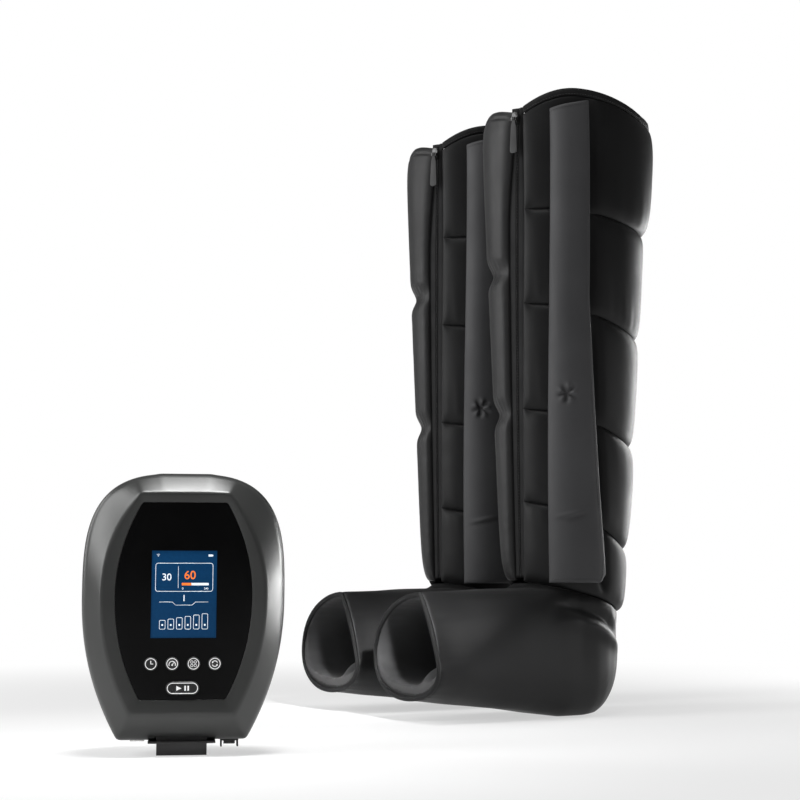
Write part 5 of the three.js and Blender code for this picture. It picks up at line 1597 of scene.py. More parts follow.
@dataclass
class Foot:
    """Foot chamber: a padded shoe, open at the toes, that grows out of the ankle."""

    leg: Leg
    half_width: float = 0.066
    heel_x: float = 0.040
    heel_centre_x: float = -0.0186
    toe_x: float = -0.232
    top_z: float = 0.143
    toe_top_z: float = 0.137
    middle_z: float = 0.068
    heel_round: float = 0.065
    sole_back_x: float = -0.018
    sole_front_x: float = -0.055
    toe_spring: float = 0.020
    sole_flatness: float = 1.08
    sole_power: float = 3.0
    heel_power: float = 4.5
    toe_power: float = 1.9
    mouth_reach: float = 0.12
    mouth_apex: float = -0.028
    mouth_near_drop: float = 0.012
    mouth_near_power: float = 1.25
    mouth_far_power: float = 2.0
    mouth_low_power: float = 2.2
    ankle_valley: float = 0.007
    ankle_ridge: float = 0.0035
    ridge_drop: float = 0.016
    ridge_half: float = 0.009
    ankle_girth: float = 0.062
    mouth_girth: float = 0.065
    ankle_fold: tuple[float, float] = (0.0011, 0.02)
    mouth_fold: tuple[float, float] = (0.0007, 0.018)
    softness: float = 0.0006
    toe_draw: float = 0.003
    toe_wall: float = 0.007
    wall: float = 0.020
    sole_thickness: float = 0.019
    tunnel_lift: float = 0.006
    tongue_half_length: float = 0.040
    tongue_half_width: float = 0.027
    tongue_rise: float = 0.024
    tongue_sink: float = 0.001
    binding_radius: float = 0.0029
    binding_inset: float = 0.0028
    binding_half_depth: float = 0.0026
    collar_inset: float = 0.003
    voxel: float = 0.003
    points: int = 56

    def ring(
        self, x: float, half: float, bottom: float, middle: float, top: float, power: float
    ) -> np.ndarray:
        """A ring across the foot, squarer over the heel, its top drawn to the outer side at the toes.

        Args:
            x: Where it stands along the foot.
            half: Half of its width.
            bottom: Height of its underside.
            middle: Height where it is widest.
            top: Height of its top.
            power: Squareness of its top, with 2 for an ellipse.

        Returns:
            Its points.
        """
        share = 1 - smooth(0, self.mouth_reach, x - self.toe_x)
        turn = (np.arange(self.points) + 0.5) / self.points * 2 * np.pi
        cos, sin = np.cos(turn), np.sin(turn)
        far = mix(power, self.mouth_far_power, share)
        near = mix(power, self.mouth_near_power, share)
        low = mix(self.sole_power, self.mouth_low_power, max(share, smooth(-0.02, 0.035, x)))
        shape = np.where(sin > 0, np.where(cos > 0, far, near), low)
        apex = np.where(sin > 0, self.mouth_apex * share * half / self.half_width, 0.0)
        across = apex + (np.sign(cos) * half - apex) * np.abs(cos) ** (2 / shape)
        steep = np.abs(sin) ** (2 / shape)
        flatness = mix(self.sole_flatness, 1.0, share)
        middle = middle - self.mouth_near_drop * share * smooth(0, 0.5, -cos)
        fall = np.minimum(1, flatness * steep) * (bottom - middle)
        z = middle + np.where(sin > 0, steep * (top - middle), fall)
        return np.stack([np.full_like(across, x), across, z], -1)

    def toe_share(self, x: float) -> float:
        """Share of the way from the heel's centre to the toes."""
        return min(1.0, max(0.0, (self.heel_centre_x - x) / (self.heel_centre_x - self.toe_x)))

    def sole_z(self, x: float) -> float:
        """Height of the sole, which springs at the toes and rounds at the heel.

        Args:
            x: Place along the foot.

        Returns:
            The height there.
        """
        front = max(0.0, self.sole_front_x - x) / (self.sole_front_x - self.toe_x)
        back = min(self.heel_round, max(0.0, x - self.sole_back_x))
        heel = self.heel_round - math.sqrt(self.heel_round**2 - back**2)
        return self.toe_spring * (1.5 * front - 0.5 * front**2) + heel

    def top_at(self, x: float) -> float:
        """Height of the foot's top."""
        return mix(self.top_z, self.toe_top_z, self.toe_share(x))

    def power_at(self, x: float) -> float:
        """Squareness of the foot's top."""
        return float(mix(self.heel_power, self.toe_power, smooth(0.15, 1, self.toe_share(x))))

    def body(self) -> Object:
        """The padded body, from the heel to the toes."""
        rings = []
        for turn in (87, 82, 75, 67, 58, 48, 38, 27, 14, 0):
            angle = math.radians(turn)
            x = mix(self.heel_centre_x, self.heel_x, math.sin(angle))
            half = self.half_width * math.cos(angle)
            rings.append(self.ring(x, half, self.sole_z(x), self.middle_z, self.top_at(x), self.power_at(x)))
        for share in np.linspace(0, 1, 19)[1:]:
            x = float(mix(self.heel_centre_x, self.toe_x, share))
            drawn = float(self.toe_draw * smooth(0.8, 1, share))
            bottom = self.sole_z(x) + drawn / 2
            rings.append(
                self.ring(x, self.half_width - drawn, bottom, self.middle_z, self.top_at(x), self.power_at(x))
            )
        return loft("foot_chamber", rings)

    def tunnel(self) -> Object:
        """The hollow for the foot, open at the toes."""
        rings = []
        middle = self.middle_z + self.tunnel_lift
        for share in np.linspace(0, 1, 14):
            x = float(mix(self.toe_x - 0.002, self.heel_centre_x, share))
            wall = float(mix(self.toe_wall, self.wall, smooth(0, 0.45, share)))
            floor = self.sole_z(x) + self.sole_thickness
            half = self.half_width - wall
            rings.append(self.ring(x, half, floor, middle, self.top_at(x) - wall, self.power_at(x)))
        for turn in (20, 40, 58, 70):
            angle = math.radians(turn)
            x = mix(self.heel_centre_x, self.heel_x - self.wall, math.sin(angle))
            half = (self.half_width - self.wall) * math.cos(angle)
            floor = self.sole_thickness + 0.004
            rings.append(self.ring(x, half, floor, middle, self.top_z - self.wall, self.sole_power))
        return loft("foot_tunnel", rings)

    def leg_tube(self, name: str, inset: float, bottom: float, top: float) -> Object:
        """A tube along the leg, drawn in by an inset.

        Args:
            name: Its name.
            inset: How far inside the leg's surface it runs.
            bottom: Height of its lower end.
            top: Height of its upper end.

        Returns:
            The tube.
        """
        angles = np.linspace(0, 360, 64, endpoint=False)
        rings = [self.leg.point(angles, z, -inset) for z in (bottom, top)]
        return loft(name, rings)

    def build(self) -> list[Piece]:
        """The padded foot and the binding round its toe mouth."""
        seam_z, slope = self.leg.seams()[0]
        obj = self.body()
        tongue = combine(self.tongue(), self.body(), "INTERSECT")
        combine(obj, self.leg_tube("collar", self.collar_inset, 0.096, 0.187), "UNION")
        with editing(obj):
            bpy.ops.mesh.bisect(
                plane_co=(0, 0, seam_z - 0.0004), plane_no=(-slope, 0, 1), clear_outer=True, use_fill=True
            )
        combine(obj, self.tunnel(), "DIFFERENCE")
        inner = self.leg.seam_thickness + self.leg.fill
        combine(obj, self.leg_tube("shaft", inner, self.middle_z, 0.3), "DIFFERENCE")
        combine(obj, tongue, "UNION")
        apply(obj, "REMESH", mode="VOXEL", voxel_size=self.voxel)
        apply(obj, "SMOOTH", factor=0.5, iterations=6)
        self.sculpt(obj)
        apply(obj, "SUBSURF", levels=1, render_levels=1)
        obj.data.shade_smooth()
        self.line_tunnel(obj)
        skin = Piece(obj, "foot_chamber_skin", Finishes.FOOT, "nylon", stands_for=("foot_chamber",), fill=0.9)
        # The tunnel's walls get the lighter lining: painted light inside the toe mouth.
        skin.lining = Finishes.LINING
        return [skin, self.mouth_binding()]

    def line_tunnel(self, obj: Object) -> None:
        """Marks the faces of the tunnel's walls as lining: those that face its middle line.

        Args:
            obj: The foot.
        """
        for mesh_face in obj.data.polygons:
            x, y, z = mesh_face.center
            inward = Vector((0, -y, self.middle_z - z))
            tucked = abs(y) < self.half_width - 0.004 and mesh_face.normal.dot(inward) > 0
            mesh_face.material_index = int(tucked and x < self.heel_centre_x and z > self.toe_spring)

    def tongue(self) -> Object:
        """The inner pad in the outer lower corner of the toe mouth."""
        obj = add(bpy.ops.mesh.primitive_uv_sphere_add, "tongue", segments=32, ring_count=20, radius=1)
        size = (self.tongue_half_length, self.tongue_half_width, self.tongue_rise)
        place = (
            self.toe_x + self.tongue_half_length + 0.001,
            -self.half_width / 2,
            self.toe_spring + self.sole_thickness - self.tongue_sink,
        )
        obj.data.transform(Matrix.Translation(place) @ Matrix.Diagonal((*size, 1)))
        return obj

    def sculpt(self, obj: Object) -> None:
        """Folds at the ankle seam and the mouth, and a flat sole.

        Args:
            obj: The foot.
        """
        points = places_of(obj)
        normals = np.array([v.normal for v in obj.data.vertices])
        seam_z, slope = self.leg.seams()[0]
        below = seam_z + slope * points[:, 0] - points[:, 2]
        round_it = np.arctan2(points[:, 1], points[:, 0] - self.leg.ankle_x) * self.ankle_girth
        folds = Folds(7, *self.ankle_fold).height(round_it, np.maximum(below, 0.0))
        mouth = points[:, 0] - self.toe_x
        turn = np.arctan2(points[:, 2] - self.middle_z, points[:, 1]) * self.mouth_girth
        folds += Folds(9, *self.mouth_fold).height(turn, np.maximum(mouth, 0.0))
        along = points[:, 0]
        rolling = np.sin(along / 0.028) * np.sin(points[:, 2] / 0.021 + points[:, 1] / 0.03)
        rolling *= self.softness
        deep = 0.104 - 0.55 * along - 4.0 * along**2 - points[:, 2]
        valley = self.ankle_ridge * np.exp(-(((deep - self.ridge_drop) / self.ridge_half) ** 2))
        valley -= self.ankle_valley * np.exp(-((deep / self.ridge_half) ** 2))
        valley *= smooth(-0.09, -0.05, along) * (1 - smooth(0.005, 0.03, along))
        valley *= 1 - smooth(-0.045, -0.015, points[:, 1])
        resting = smooth(0.002, 0.012, points[:, 2])
        points += normals * ((folds + rolling + valley) * resting)[:, None]
        points[:, 2] = np.maximum(points[:, 2], 0.0)
        move_to(obj, points)

    def mouth_binding(self) -> Piece:
        """Folded tape round the edge of the toe mouth."""
        drawn = self.toe_draw
        middle = self.middle_z + self.tunnel_lift / 2
        half = self.half_width - drawn / 2 - self.toe_wall / 2
        low = self.toe_spring + drawn / 2 + self.sole_thickness / 2
        centre = self.ring(self.toe_x, half, low, middle, self.toe_top_z - self.toe_wall / 2, self.toe_power)
        outer = self.ring(
            self.toe_x, self.half_width - drawn, self.toe_spring + drawn / 2, self.middle_z, self.toe_top_z,
            self.toe_power,
        )
        away = outer - centre
        away /= np.linalg.norm(away, axis=1, keepdims=True)
        reach = np.linalg.norm(outer - centre, axis=1, keepdims=True)
        line = outer - away * np.minimum(reach, self.binding_inset)
        rings = []
        for turn in np.linspace(0, 2 * np.pi, 12, endpoint=False):
            aside = np.array([self.binding_half_depth * math.sin(turn), 0, 0])
            rings.append(line + away * self.binding_radius * math.cos(turn) + aside)
        rings.append(rings[0])
        obj = loft("mouth_binding", rings, closed=False)
        obj.data.shade_smooth()
        return Piece(obj, "mouth_binding", Finishes.BINDING, "binding")


@dataclass(frozen=True)
class Key:
    """A key: a shallow dished face, a flange behind the panel and a stem."""

    name: str
    body: str
    x: float
    z: float
    radius: float = 0.0056
    reach: float = 0.0
    face: float = -0.0267
    flange: float = -0.0235
    flange_back: float = -0.0225
    stem_back: float = -0.0217
    stem_radius: float = 0.0016
    dish: float = 0.0002
    points: int = 64

    def ring(self, radius: float, reach: float, y: float) -> np.ndarray:
        """Outline with half-round ends, a reach apart from its middle.

        Args:
            radius: Radius of the ends.
            reach: Distance from the middle to each end's centre.
            y: Depth.

        Returns:
            Its points.
        """
        turn = (np.arange(self.points) + 0.5) / self.points * 2 * np.pi
        x = self.x + radius * np.cos(turn) + reach * np.sign(np.cos(turn))
        return np.stack([x, np.full_like(x, y), self.z + radius * np.sin(turn)], -1)

    def bar(self, grown: float, front: float, back: float) -> Object:
        """A bar along Y with the key's outline, grown all round."""
        radius = self.radius + grown
        return loft("key_bar", [self.ring(radius, self.reach, y) for y in (front, back)])

    def build(self) -> Object:
        """The key."""
        wide = self.radius + 0.0012
        rings = [
            self.ring(self.stem_radius - 0.0004, 0, self.stem_back),
            self.ring(self.stem_radius, 0, self.stem_back - 0.0003),
            self.ring(self.stem_radius, 0, self.flange_back),
        ]
        for radius, y in (
            (wide - 0.0002, self.flange_back),
            (wide, self.flange_back - 0.0002),
            (wide, self.flange),
            (self.radius, self.flange),
            (self.radius, self.face + 0.0003),
            (self.radius - 0.0001, self.face + 0.0001),
            (self.radius - 0.0003, self.face),
            (self.radius - 0.0005, self.face + self.dish * 0.6),
            (self.radius - 0.0007, self.face + self.dish),
            (self.radius - 0.0015, self.face + self.dish),
        ):
            rings.append(self.ring(radius, self.reach, y))
        return shade(loft(f"{self.name}_cap", rings))


KEY_ROW_Z = 0.0774
ROUND_KEYS = tuple(
    Key(f"key_{name}", f"{name}_key", (i - 1.5) * 0.0179, KEY_ROW_Z)
    for i, name in enumerate(("timer", "pressure", "mode", "chambers"))
)
START_KEY = Key("key_start", "start_key", 0.0, 0.057, 0.00555, 0.00845)


@dataclass(frozen=True)
class Oval:
    """Outline of the case at one depth: widest part way up, with a flat foot and a flat crown."""

    bottom: float
    top: float
    widest: float
    half: float
    top_half: float
    bottom_half: float
    corner: float
    crown_roundness: float = 0.0

    def half_at(self, z: Values) -> Values:
        """Half of its width at a height.

        Args:
            z: The height.

        Returns:
            Half of the width.
        """
        below = np.clip((self.widest - z) / (self.widest - self.bottom), 0, 1)
        above = np.clip((z - self.widest) / (self.top - self.widest), 0, 1)
        foot = self.half - (self.half - self.bottom_half) * below**2.2
        if self.crown_roundness:
            power = self.crown_roundness
            head = np.maximum(self.top_half, self.half * (1 - above**power) ** (1 / power))
        else:
            head = self.half - (self.half - self.top_half) * above**2
        return np.where(z < self.widest, foot, head)

    def outline(self, step: float = 0.0004) -> np.ndarray:
        """Points [x, z] round the outline at even steps, with its corners rounded.

        Args:
            step: Distance between them.

        Returns:
            The points, a row for each.
        """
        z = np.linspace(self.bottom, self.top, 1500)
        right = np.stack([self.half_at(z), z], 1)
        line = np.concatenate([right, right[::-1] * (-1, 1), right[:1]])
        run = run_of(line)
        line = sample(line, run, np.arange(0, run[-1], step))
        width = int(self.corner / step) | 1
        kernel = np.ones(width) / width
        for _ in range(2):
            wrapped = np.concatenate([line[-width:], line, line[:width]])
            line = np.stack([np.convolve(wrapped[:, i], kernel, "same") for i in (0, 1)], 1)[width:-width]
        return line


def rounded(corners: Profile, steps: int = 5) -> list[np.ndarray]:
    """Walks a profile and rounds its corners.

    Args:
        corners: Distance in from the edge, depth, and how far the rounding reaches along both sides.
        steps: Spans of a rounding.

    Returns:
        The profile's points.
    """
    places = [np.array(corner[:2]) for corner in corners]
    line = []
    for i, (place, corner) in enumerate(zip(places, corners)):
        if not corner[2]:
            line.append(place)
            continue
        before, after = (
            place + (other - place) / np.linalg.norm(other - place) * corner[2]
            for other in (places[i - 1], places[(i + 1) % len(places)])
        )
        for t in np.linspace(0, 1, steps + 1):
            line.append((1 - t) ** 2 * before + 2 * t * (1 - t) * place + t**2 * after)
    return line


@dataclass
class Case:
    """Front and rear shell of the controller, and the glossy panel in the front one.

    In the controller's own place its face looks along -Y, the shells part at Y = 0, and it stands on
    the air socket at Z = 0.
    """

    edge: Oval = Oval(0.0124, 0.2400, 0.136, 0.0868, 0.0240, 0.0548, 0.005, 3.1)
    ridge: Oval = Oval(0.0344, 0.2220, 0.136, 0.0695, 0.0380, 0.0440, 0.004)
    panel: Oval = Oval(0.0476, 0.2136, 0.136, 0.0576, 0.0360, 0.0360, 0.003)
    rear: Oval = Oval(0.0300, 0.2220, 0.132, 0.0680, 0.0360, 0.0460, 0.006)
    bevel: float = 0.0173
    bezel: float = 0.0119
    back_taper: float = 0.0188
    rim_depth: float = 0.009
    depth: float = 0.027
    panel_recess: float = 0.0012
    panel_thickness: float = 0.002
    rear_rim_depth: float = 0.020
    rear_depth: float = 0.048
    back_edge: float = 0.008
    wall: float = 0.003
    gap: float = 0.0003
    ledge: float = 0.006
    lip: float = 0.002
    middle_z: float = 0.130
    points: int = 440
    screws: tuple[tuple[float, float], ...] = ((0.054, 0.045), (0.058, 0.196))
    screw_seat: float = 0.014
    boss_radius: float = 0.0046
    hole_radius: float = 0.0018
    well_radius: float = 0.0035
    shelves: tuple[tuple[float, float], ...] = ((0.037, 0.0317), (0.044, 0.0617), (0.050, 0.1117))
    strip_heights: tuple[float, ...] = (0.060, 0.196)
    boss_front: float = -0.0165
    window_half: float = 0.0276
    window_heights: tuple[float, float] = (0.0989, 0.1727)
    key_hole: float = 0.006
    strip_half: tuple[float, float] = (0.0353, 0.0048)
    strip_depth: float = 0.0015
    under_y: float = 0.009
    under_z: float = 0.0114
    under_openings: tuple[tuple[float, float, float, float], ...] = (
        (0.0, 0.02155, 0.0203, 0.0203),
        (0.0407, 0.0053, 0.0079, 0.0176),
        (-0.0378, 0.00495, 0.00495, 0.0241),
    )

    def __post_init__(self) -> None:
        """Works out the ring's angles and each oval's reach from the middle."""
        line = self.edge.outline()
        picked = line[np.linspace(0, len(line), self.points, endpoint=False).astype(int)]
        self.angles = np.sort(np.arctan2(picked[:, 1] - self.middle_z, picked[:, 0]))
        seat = self.bevel + self.bezel
        self.front_ovals = self.spread([(0, self.edge), (self.bevel, self.ridge), (seat, self.panel)])
        self.rear_ovals = self.spread([(0, self.edge), (self.back_taper, self.rear)])

    @property
    def panel_face(self) -> float:
        """Depth of the panel's face."""
        return self.panel_recess - self.depth

    @property
    def seat_floor(self) -> float:
        """Depth of the floor that the panel is stuck on."""
        return self.panel_face + self.panel_thickness + self.gap

    def spread(self, ovals: Sequence[tuple[float, Oval]]) -> Spread:
        """Distance in from the edge of each oval, and how far it reaches at the ring's angles.

        Args:
            ovals: The distance in and the outline of each.

        Returns:
            The distance in and the reach of each.
        """
        made = []
        for inward, oval in ovals:
            line = oval.outline() - (0, self.middle_z)
            turn = np.arctan2(line[:, 1], line[:, 0])
            made.append((inward, np.interp(self.angles, turn, np.hypot(*line.T), period=2 * np.pi)))
        return made

    def ring(self, ovals: Spread, inward: float, y: float) -> np.ndarray:
        """Ring of the case at a distance in from its edge and at a depth.

        Args:
            ovals: What `spread` gives.
            inward: Distance in from the edge.
            y: Depth.

        Returns:
            Its points.
        """
        last, reach = ovals[-1]
        reach = reach - (inward - last)
        for (low, near), (high, far) in zip(ovals, ovals[1:]):
            if low <= inward < high:
                reach = mix(near, far, (inward - low) / (high - low))
        x, z = reach * np.cos(self.angles), reach * np.sin(self.angles) + self.middle_z
        return np.stack([x, np.full_like(x, y), z], -1)

    def rings(self, ovals: Spread, corners: Profile) -> list[np.ndarray]:
        """Rings of the case along a profile with rounded corners."""
        return [self.ring(ovals, *place) for place in rounded(corners)]

    def front_profile(self) -> Profile:
        """Section of the front shell, from the parting plane inside round to it again."""
        seat = self.bevel + self.bezel - self.gap
        floor, back = self.seat_floor, self.seat_floor + self.lip
        return [
            (self.wall, -self.gap / 2, 0),
            (0, -self.gap / 2, 0.0004),
            (0, -self.rim_depth, 0.006),
            (self.bevel, -self.depth, 0.0028),
            (seat, self.panel_face, 0.0006),
            (seat, floor, 0),
            (seat + self.ledge, floor, 0),
            (seat + self.ledge, back, 0),
            (self.bevel + 0.002, back, 0),
            (self.wall, 0.001 - self.rim_depth, 0.002),
        ]

    def front(self) -> Object:
        """Front shell: bevel, ridge and bezel round the panel's seat, with screw bosses inside."""
        rings = self.rings(self.front_ovals, self.front_profile())
        obj = loft("front_shell", rings + rings[:1], closed=False)
        bosses = self.screw_bars(self.boss_radius, self.boss_front, -self.gap / 2)
        combine(obj, join(bosses), "UNION")
        holes = self.screw_bars(self.hole_radius, -0.011, 0.001)
        combine(obj, join(holes + self.under_cuts()), "DIFFERENCE")
        room = START_KEY.bar(0.0016, self.panel_face, self.seat_floor + self.lip + 0.001)
        return combine(obj, room, "DIFFERENCE")

    def rear_back(self) -> Object:
        """Rear shell: a cup with shelves and screw wells, and grooves for the rubber strips."""
        inner = [
            (self.back_taper + self.back_edge + self.wall, self.rear_depth - self.wall, 0),
            (self.back_taper + self.wall, self.rear_depth - self.back_edge - 0.001, 0),
            (self.wall, self.rear_rim_depth - 0.001, 0.003),
            (self.wall, self.gap / 2, 0),
        ]
        outer = [
            (0, self.gap / 2, 0.0004),
            (0, self.rear_rim_depth, 0.009),
            (self.back_taper, self.rear_depth - self.back_edge, 0.007),
            (self.back_taper + self.back_edge, self.rear_depth, 0.002),
            (self.back_taper + self.back_edge + 0.012, self.rear_depth, 0),
        ]
        obj = loft("rear_shell", self.rings(self.rear_ovals, inner + outer))
        outside = loft("outside", self.rings(self.rear_ovals, [(0.002, 0.0004, 0)] + outer[1:]))
        fittings = self.screw_bars(self.boss_radius, self.gap / 2, 0.047)
        for half, top in self.shelves:
            low, high = (-half, 0.003, top - 0.0028), (half, 0.0455, top - 0.0003)
            fittings.append(block("shelf", low, high))
        fitted = combine(join(fittings), outside, "INTERSECT")
        combine(obj, fitted, "UNION")
        wells = self.screw_bars(self.well_radius, self.screw_seat, 0.050)
        combine(obj, join(wells), "DIFFERENCE")
        cuts = self.screw_bars(self.hole_radius, -0.001, self.screw_seat + 0.001)
        across, up = self.strip_half
        for z in self.strip_heights:
            low = (-across, self.rear_depth - self.strip_depth, z - up)
            high = (across, self.rear_depth + 0.002, z + up)
            cuts.append(bevel(block("groove", low, high), 0.0012))
        return combine(obj, join(cuts + self.under_cuts()), "DIFFERENCE")

    def screw_places(self) -> list[tuple[float, float]]:
        """Both sides of each pair of screws."""
        return [(side * x, z) for x, z in self.screws for side in (1, -1)]

    def screw_bars(self, radius: float, front: float, back: float) -> list[Object]:
        """A bar on each screw's line, between two depths."""
        return [bar("screw_bar", radius, x, z, front, back) for x, z in self.screw_places()]

    def under_cuts(self) -> list[Object]:
        """Cutters through the underside for the air socket, the rocker and the jack."""
        cuts = []
        for x, half_x, half_y, top in self.under_openings:
            low = (x - half_x, self.under_y - half_y, self.under_z)
            cuts.append(block("under_cut", low, (x + half_x, self.under_y + half_y, top)))
        return cuts

    def panel_plate(self) -> Object:
        """The glossy panel, with its window and key holes."""
        inward = self.bevel + self.bezel
        face, back = self.panel_face, self.panel_face + self.panel_thickness
        corners = [(inward + 0.002, back, 0), (inward, back, 0), (inward, face, 0.0005)]
        obj = loft("front_panel", self.rings(self.front_ovals, corners + [(inward + 0.01, face, 0)]))
        through = front, behind = face - 0.001, back + 0.001
        low, high = self.window_heights
        window = (-self.window_half, front, low), (self.window_half, behind, high)
        combine(obj, block("window", *window), "DIFFERENCE")
        holes = [bar("hole", self.key_hole, key.x, key.z, *through, 64) for key in ROUND_KEYS]
        holes.append(START_KEY.bar(0.0004, *through))
        return combine(obj, join(holes), "DIFFERENCE")


class Marks:
    """Printed or lit marks on a face that looks along -Y, drawn on X and Z and made one piece."""

    def __init__(self, x: float, z: float, y: float, thickness: float = 0.00014) -> None:
        """Starts an empty set of marks.

        Args:
            x: Middle of the marks across the face.
            z: Middle of the marks up the face.
            y: Depth of the face.
            thickness: How thick a mark is, half of it sunk in the face.
        """
        self.middle = Vector((x, y, z))
        self.thickness = thickness
        self.parts: list[Object] = []

    def keep(self, obj: Object, flatten: float) -> None:
        """Makes a drawn mark a mesh, flattens it and moves it to its place.

        Args:
            obj: The mark, drawn about the origin.
            flatten: Share of its depth that stays.
        """
        pick(obj)
        bpy.ops.object.convert(target="MESH")
        obj = settle(bpy.context.active_object)
        obj.data.transform(Matrix.Translation(self.middle) @ Matrix.Diagonal((1, flatten, 1, 1)))
        self.parts.append(obj)

    def line(self, points: Points, width: float, closed: bool = False) -> None:
        """A line of even width through points.

        Args:
            points: The points, as X and Z.
            width: Its width.
            closed: Whether it runs back to its start.
        """
        curve = bpy.data.curves.new("mark", "CURVE")
        curve.dimensions = "3D"
        curve.bevel_depth = width / 2
        curve.bevel_resolution = 1
        curve.use_fill_caps = True
        spline = curve.splines.new("POLY")
        spline.points.add(len(points) - 1)
        for point, (x, z) in zip(spline.points, points):
            point.co = (x, 0, z, 1)
        spline.use_cyclic_u = closed
        self.keep(link("mark", curve), self.thickness / width)

    def patch(self, points: Points) -> None:
        """A filled outline.

        Args:
            points: Its corners, as X and Z.
        """
        count = len(points)
        obj = add(bpy.ops.mesh.primitive_circle_add, "mark", vertices=count, radius=1, fill_type="NGON")
        for vertex, (x, z) in zip(obj.data.vertices, points):
            vertex.co = (x, self.thickness / 2, z)
        with editing(obj):
            bpy.ops.mesh.extrude_region_move(TRANSFORM_OT_translate={"value": (0, -self.thickness, 0)})
            bpy.ops.mesh.select_all(action="SELECT")
            bpy.ops.mesh.normals_make_consistent(inside=False)
        self.keep(obj, 1)

    def number(self, digits: str, x: float, z: float, height: float) -> None:
        """Plain digits, centred on a point.

        Args:
            digits: What it shows.
            x: The point, across.
            z: The point, up.
            height: Height of a digit.
        """
        upright = (math.radians(90), 0, 0)
        obj = add(bpy.ops.object.text_add, "mark", location=(x, 0, z), rotation=upright)
        obj.data.body = digits
        obj.data.size = height / 0.7
        obj.data.align_x = "CENTER"
        obj.data.align_y = "CENTER"
        obj.data.offset = height * 0.012
        obj.data.extrude = self.thickness / 2
        self.keep(obj, 1)

    @staticmethod
    def arc(x: float, z: float, radius: float, start: float, end: float, steps: int = 24) -> list:
        """Points of an arc about a point, between two angles in degrees."""
        turns = np.radians(np.linspace(start, end, steps + 1))
        return [(x + radius * math.cos(t), z + radius * math.sin(t)) for t in turns]

    @staticmethod
    def pill(x: float, z: float, width: float, height: float, radius: float) -> list:
        """Points of a rectangle with round corners, about its middle.

        Args:
            x: Its middle, across.
            z: Its middle, up.
            width: Its width.
            height: Its height.
            radius: Radius of its corners.

        Returns:
            The points.
        """
        made = []
        for i, (across, up) in enumerate(((1, 1), (-1, 1), (-1, -1), (1, -1))):
            middle_x, middle_z = x + across * (width / 2 - radius), z + up * (height / 2 - radius)
            made += Marks.arc(middle_x, middle_z, radius, 90 * i, 90 * (i + 1), 6)
        return made

    def ring(self, radius: float, width: float, x: float = 0.0, z: float = 0.0) -> None:
        """A round line about a point."""
        self.line(Marks.arc(x, z, radius, 0, 360 * 47 / 48, 47), width, closed=True)

    def disc(self, x: float, z: float, radius: float) -> None:
        """A filled round mark."""
        self.patch(Marks.arc(x, z, radius, 0, 345, 23))

    def finish(self, name: str) -> Object:
        """Joins the marks."""
        return rename(face_out(join(self.parts)), name)


@dataclass
class Icons:
    """Plain symbols on the keys: a clock, a gauge, four cells, a cycle, and start or pause."""

    ring_radius: float = 0.0045
    line: float = 0.0008
    face: float = -0.0265

    def start(self, key: Key) -> Marks:
        """Marks on a key's face, about its middle."""
        return Marks(key.x, key.z, self.face)

    def clock(self, marks: Marks) -> None:
        """Two hands."""
        marks.line([(0, 0.0025), (0, 0), (0.002, 0)], 0.0008)

    def gauge(self, marks: Marks) -> None:
        """A scale over a needle on its hub.

        Args:
            marks: What they are added to.
        """
        marks.line(Marks.arc(0, -0.0006, 0.0027, 205, -25), self.line)
        marks.line([(0, -0.0008), (0.0013, 0.0010)], 0.0006)
        marks.disc(0, -0.0010, 0.0007)

    def cells(self, marks: Marks) -> None:
        """Four small rings in a square.

        Args:
            marks: What they are added to.
        """
        for x in (-1, 1):
            for z in (-1, 1):
                marks.ring(0.00105, 0.0005, x * 0.00145, z * 0.00145)

    def cycle(self, marks: Marks) -> None:
        """Two arrows that chase each other round.

        Args:
            marks: What they are added to.
        """
        for turn in (20, 200):
            marks.line(Marks.arc(0, 0, 0.0023, turn, turn + 125), self.line)
            tip, foot = math.radians(turn + 158), math.radians(turn + 120)
            marks.patch(
                [
                    (0.0023 * math.cos(tip), 0.0023 * math.sin(tip)),
                    (0.0032 * math.cos(foot), 0.0032 * math.sin(foot)),
                    (0.0014 * math.cos(foot), 0.0014 * math.sin(foot)),
                ]
            )

    def build(self) -> list[tuple[Object, Key]]:
        """The marks of every key."""
        made = []
        for key, draw in zip(ROUND_KEYS, (self.clock, self.gauge, self.cells, self.cycle)):
            marks = self.start(key)
            marks.ring(self.ring_radius, self.line)
            draw(marks)
            made.append((marks.finish(f"{key.name}_symbol"), key))
        marks = self.start(START_KEY)
        marks.line(Marks.pill(0, 0, 0.0254, 0.0086, 0.0043), self.line, closed=True)
        marks.patch([(-0.0052, 0.0021), (-0.0052, -0.0021), (-0.0008, 0)])
        for x in (0.0022, 0.0048):
            marks.patch(Marks.pill(x, 0, 0.0014, 0.0042, 0.0003))
        made.append((marks.finish("key_start_symbol"), START_KEY))
        return made


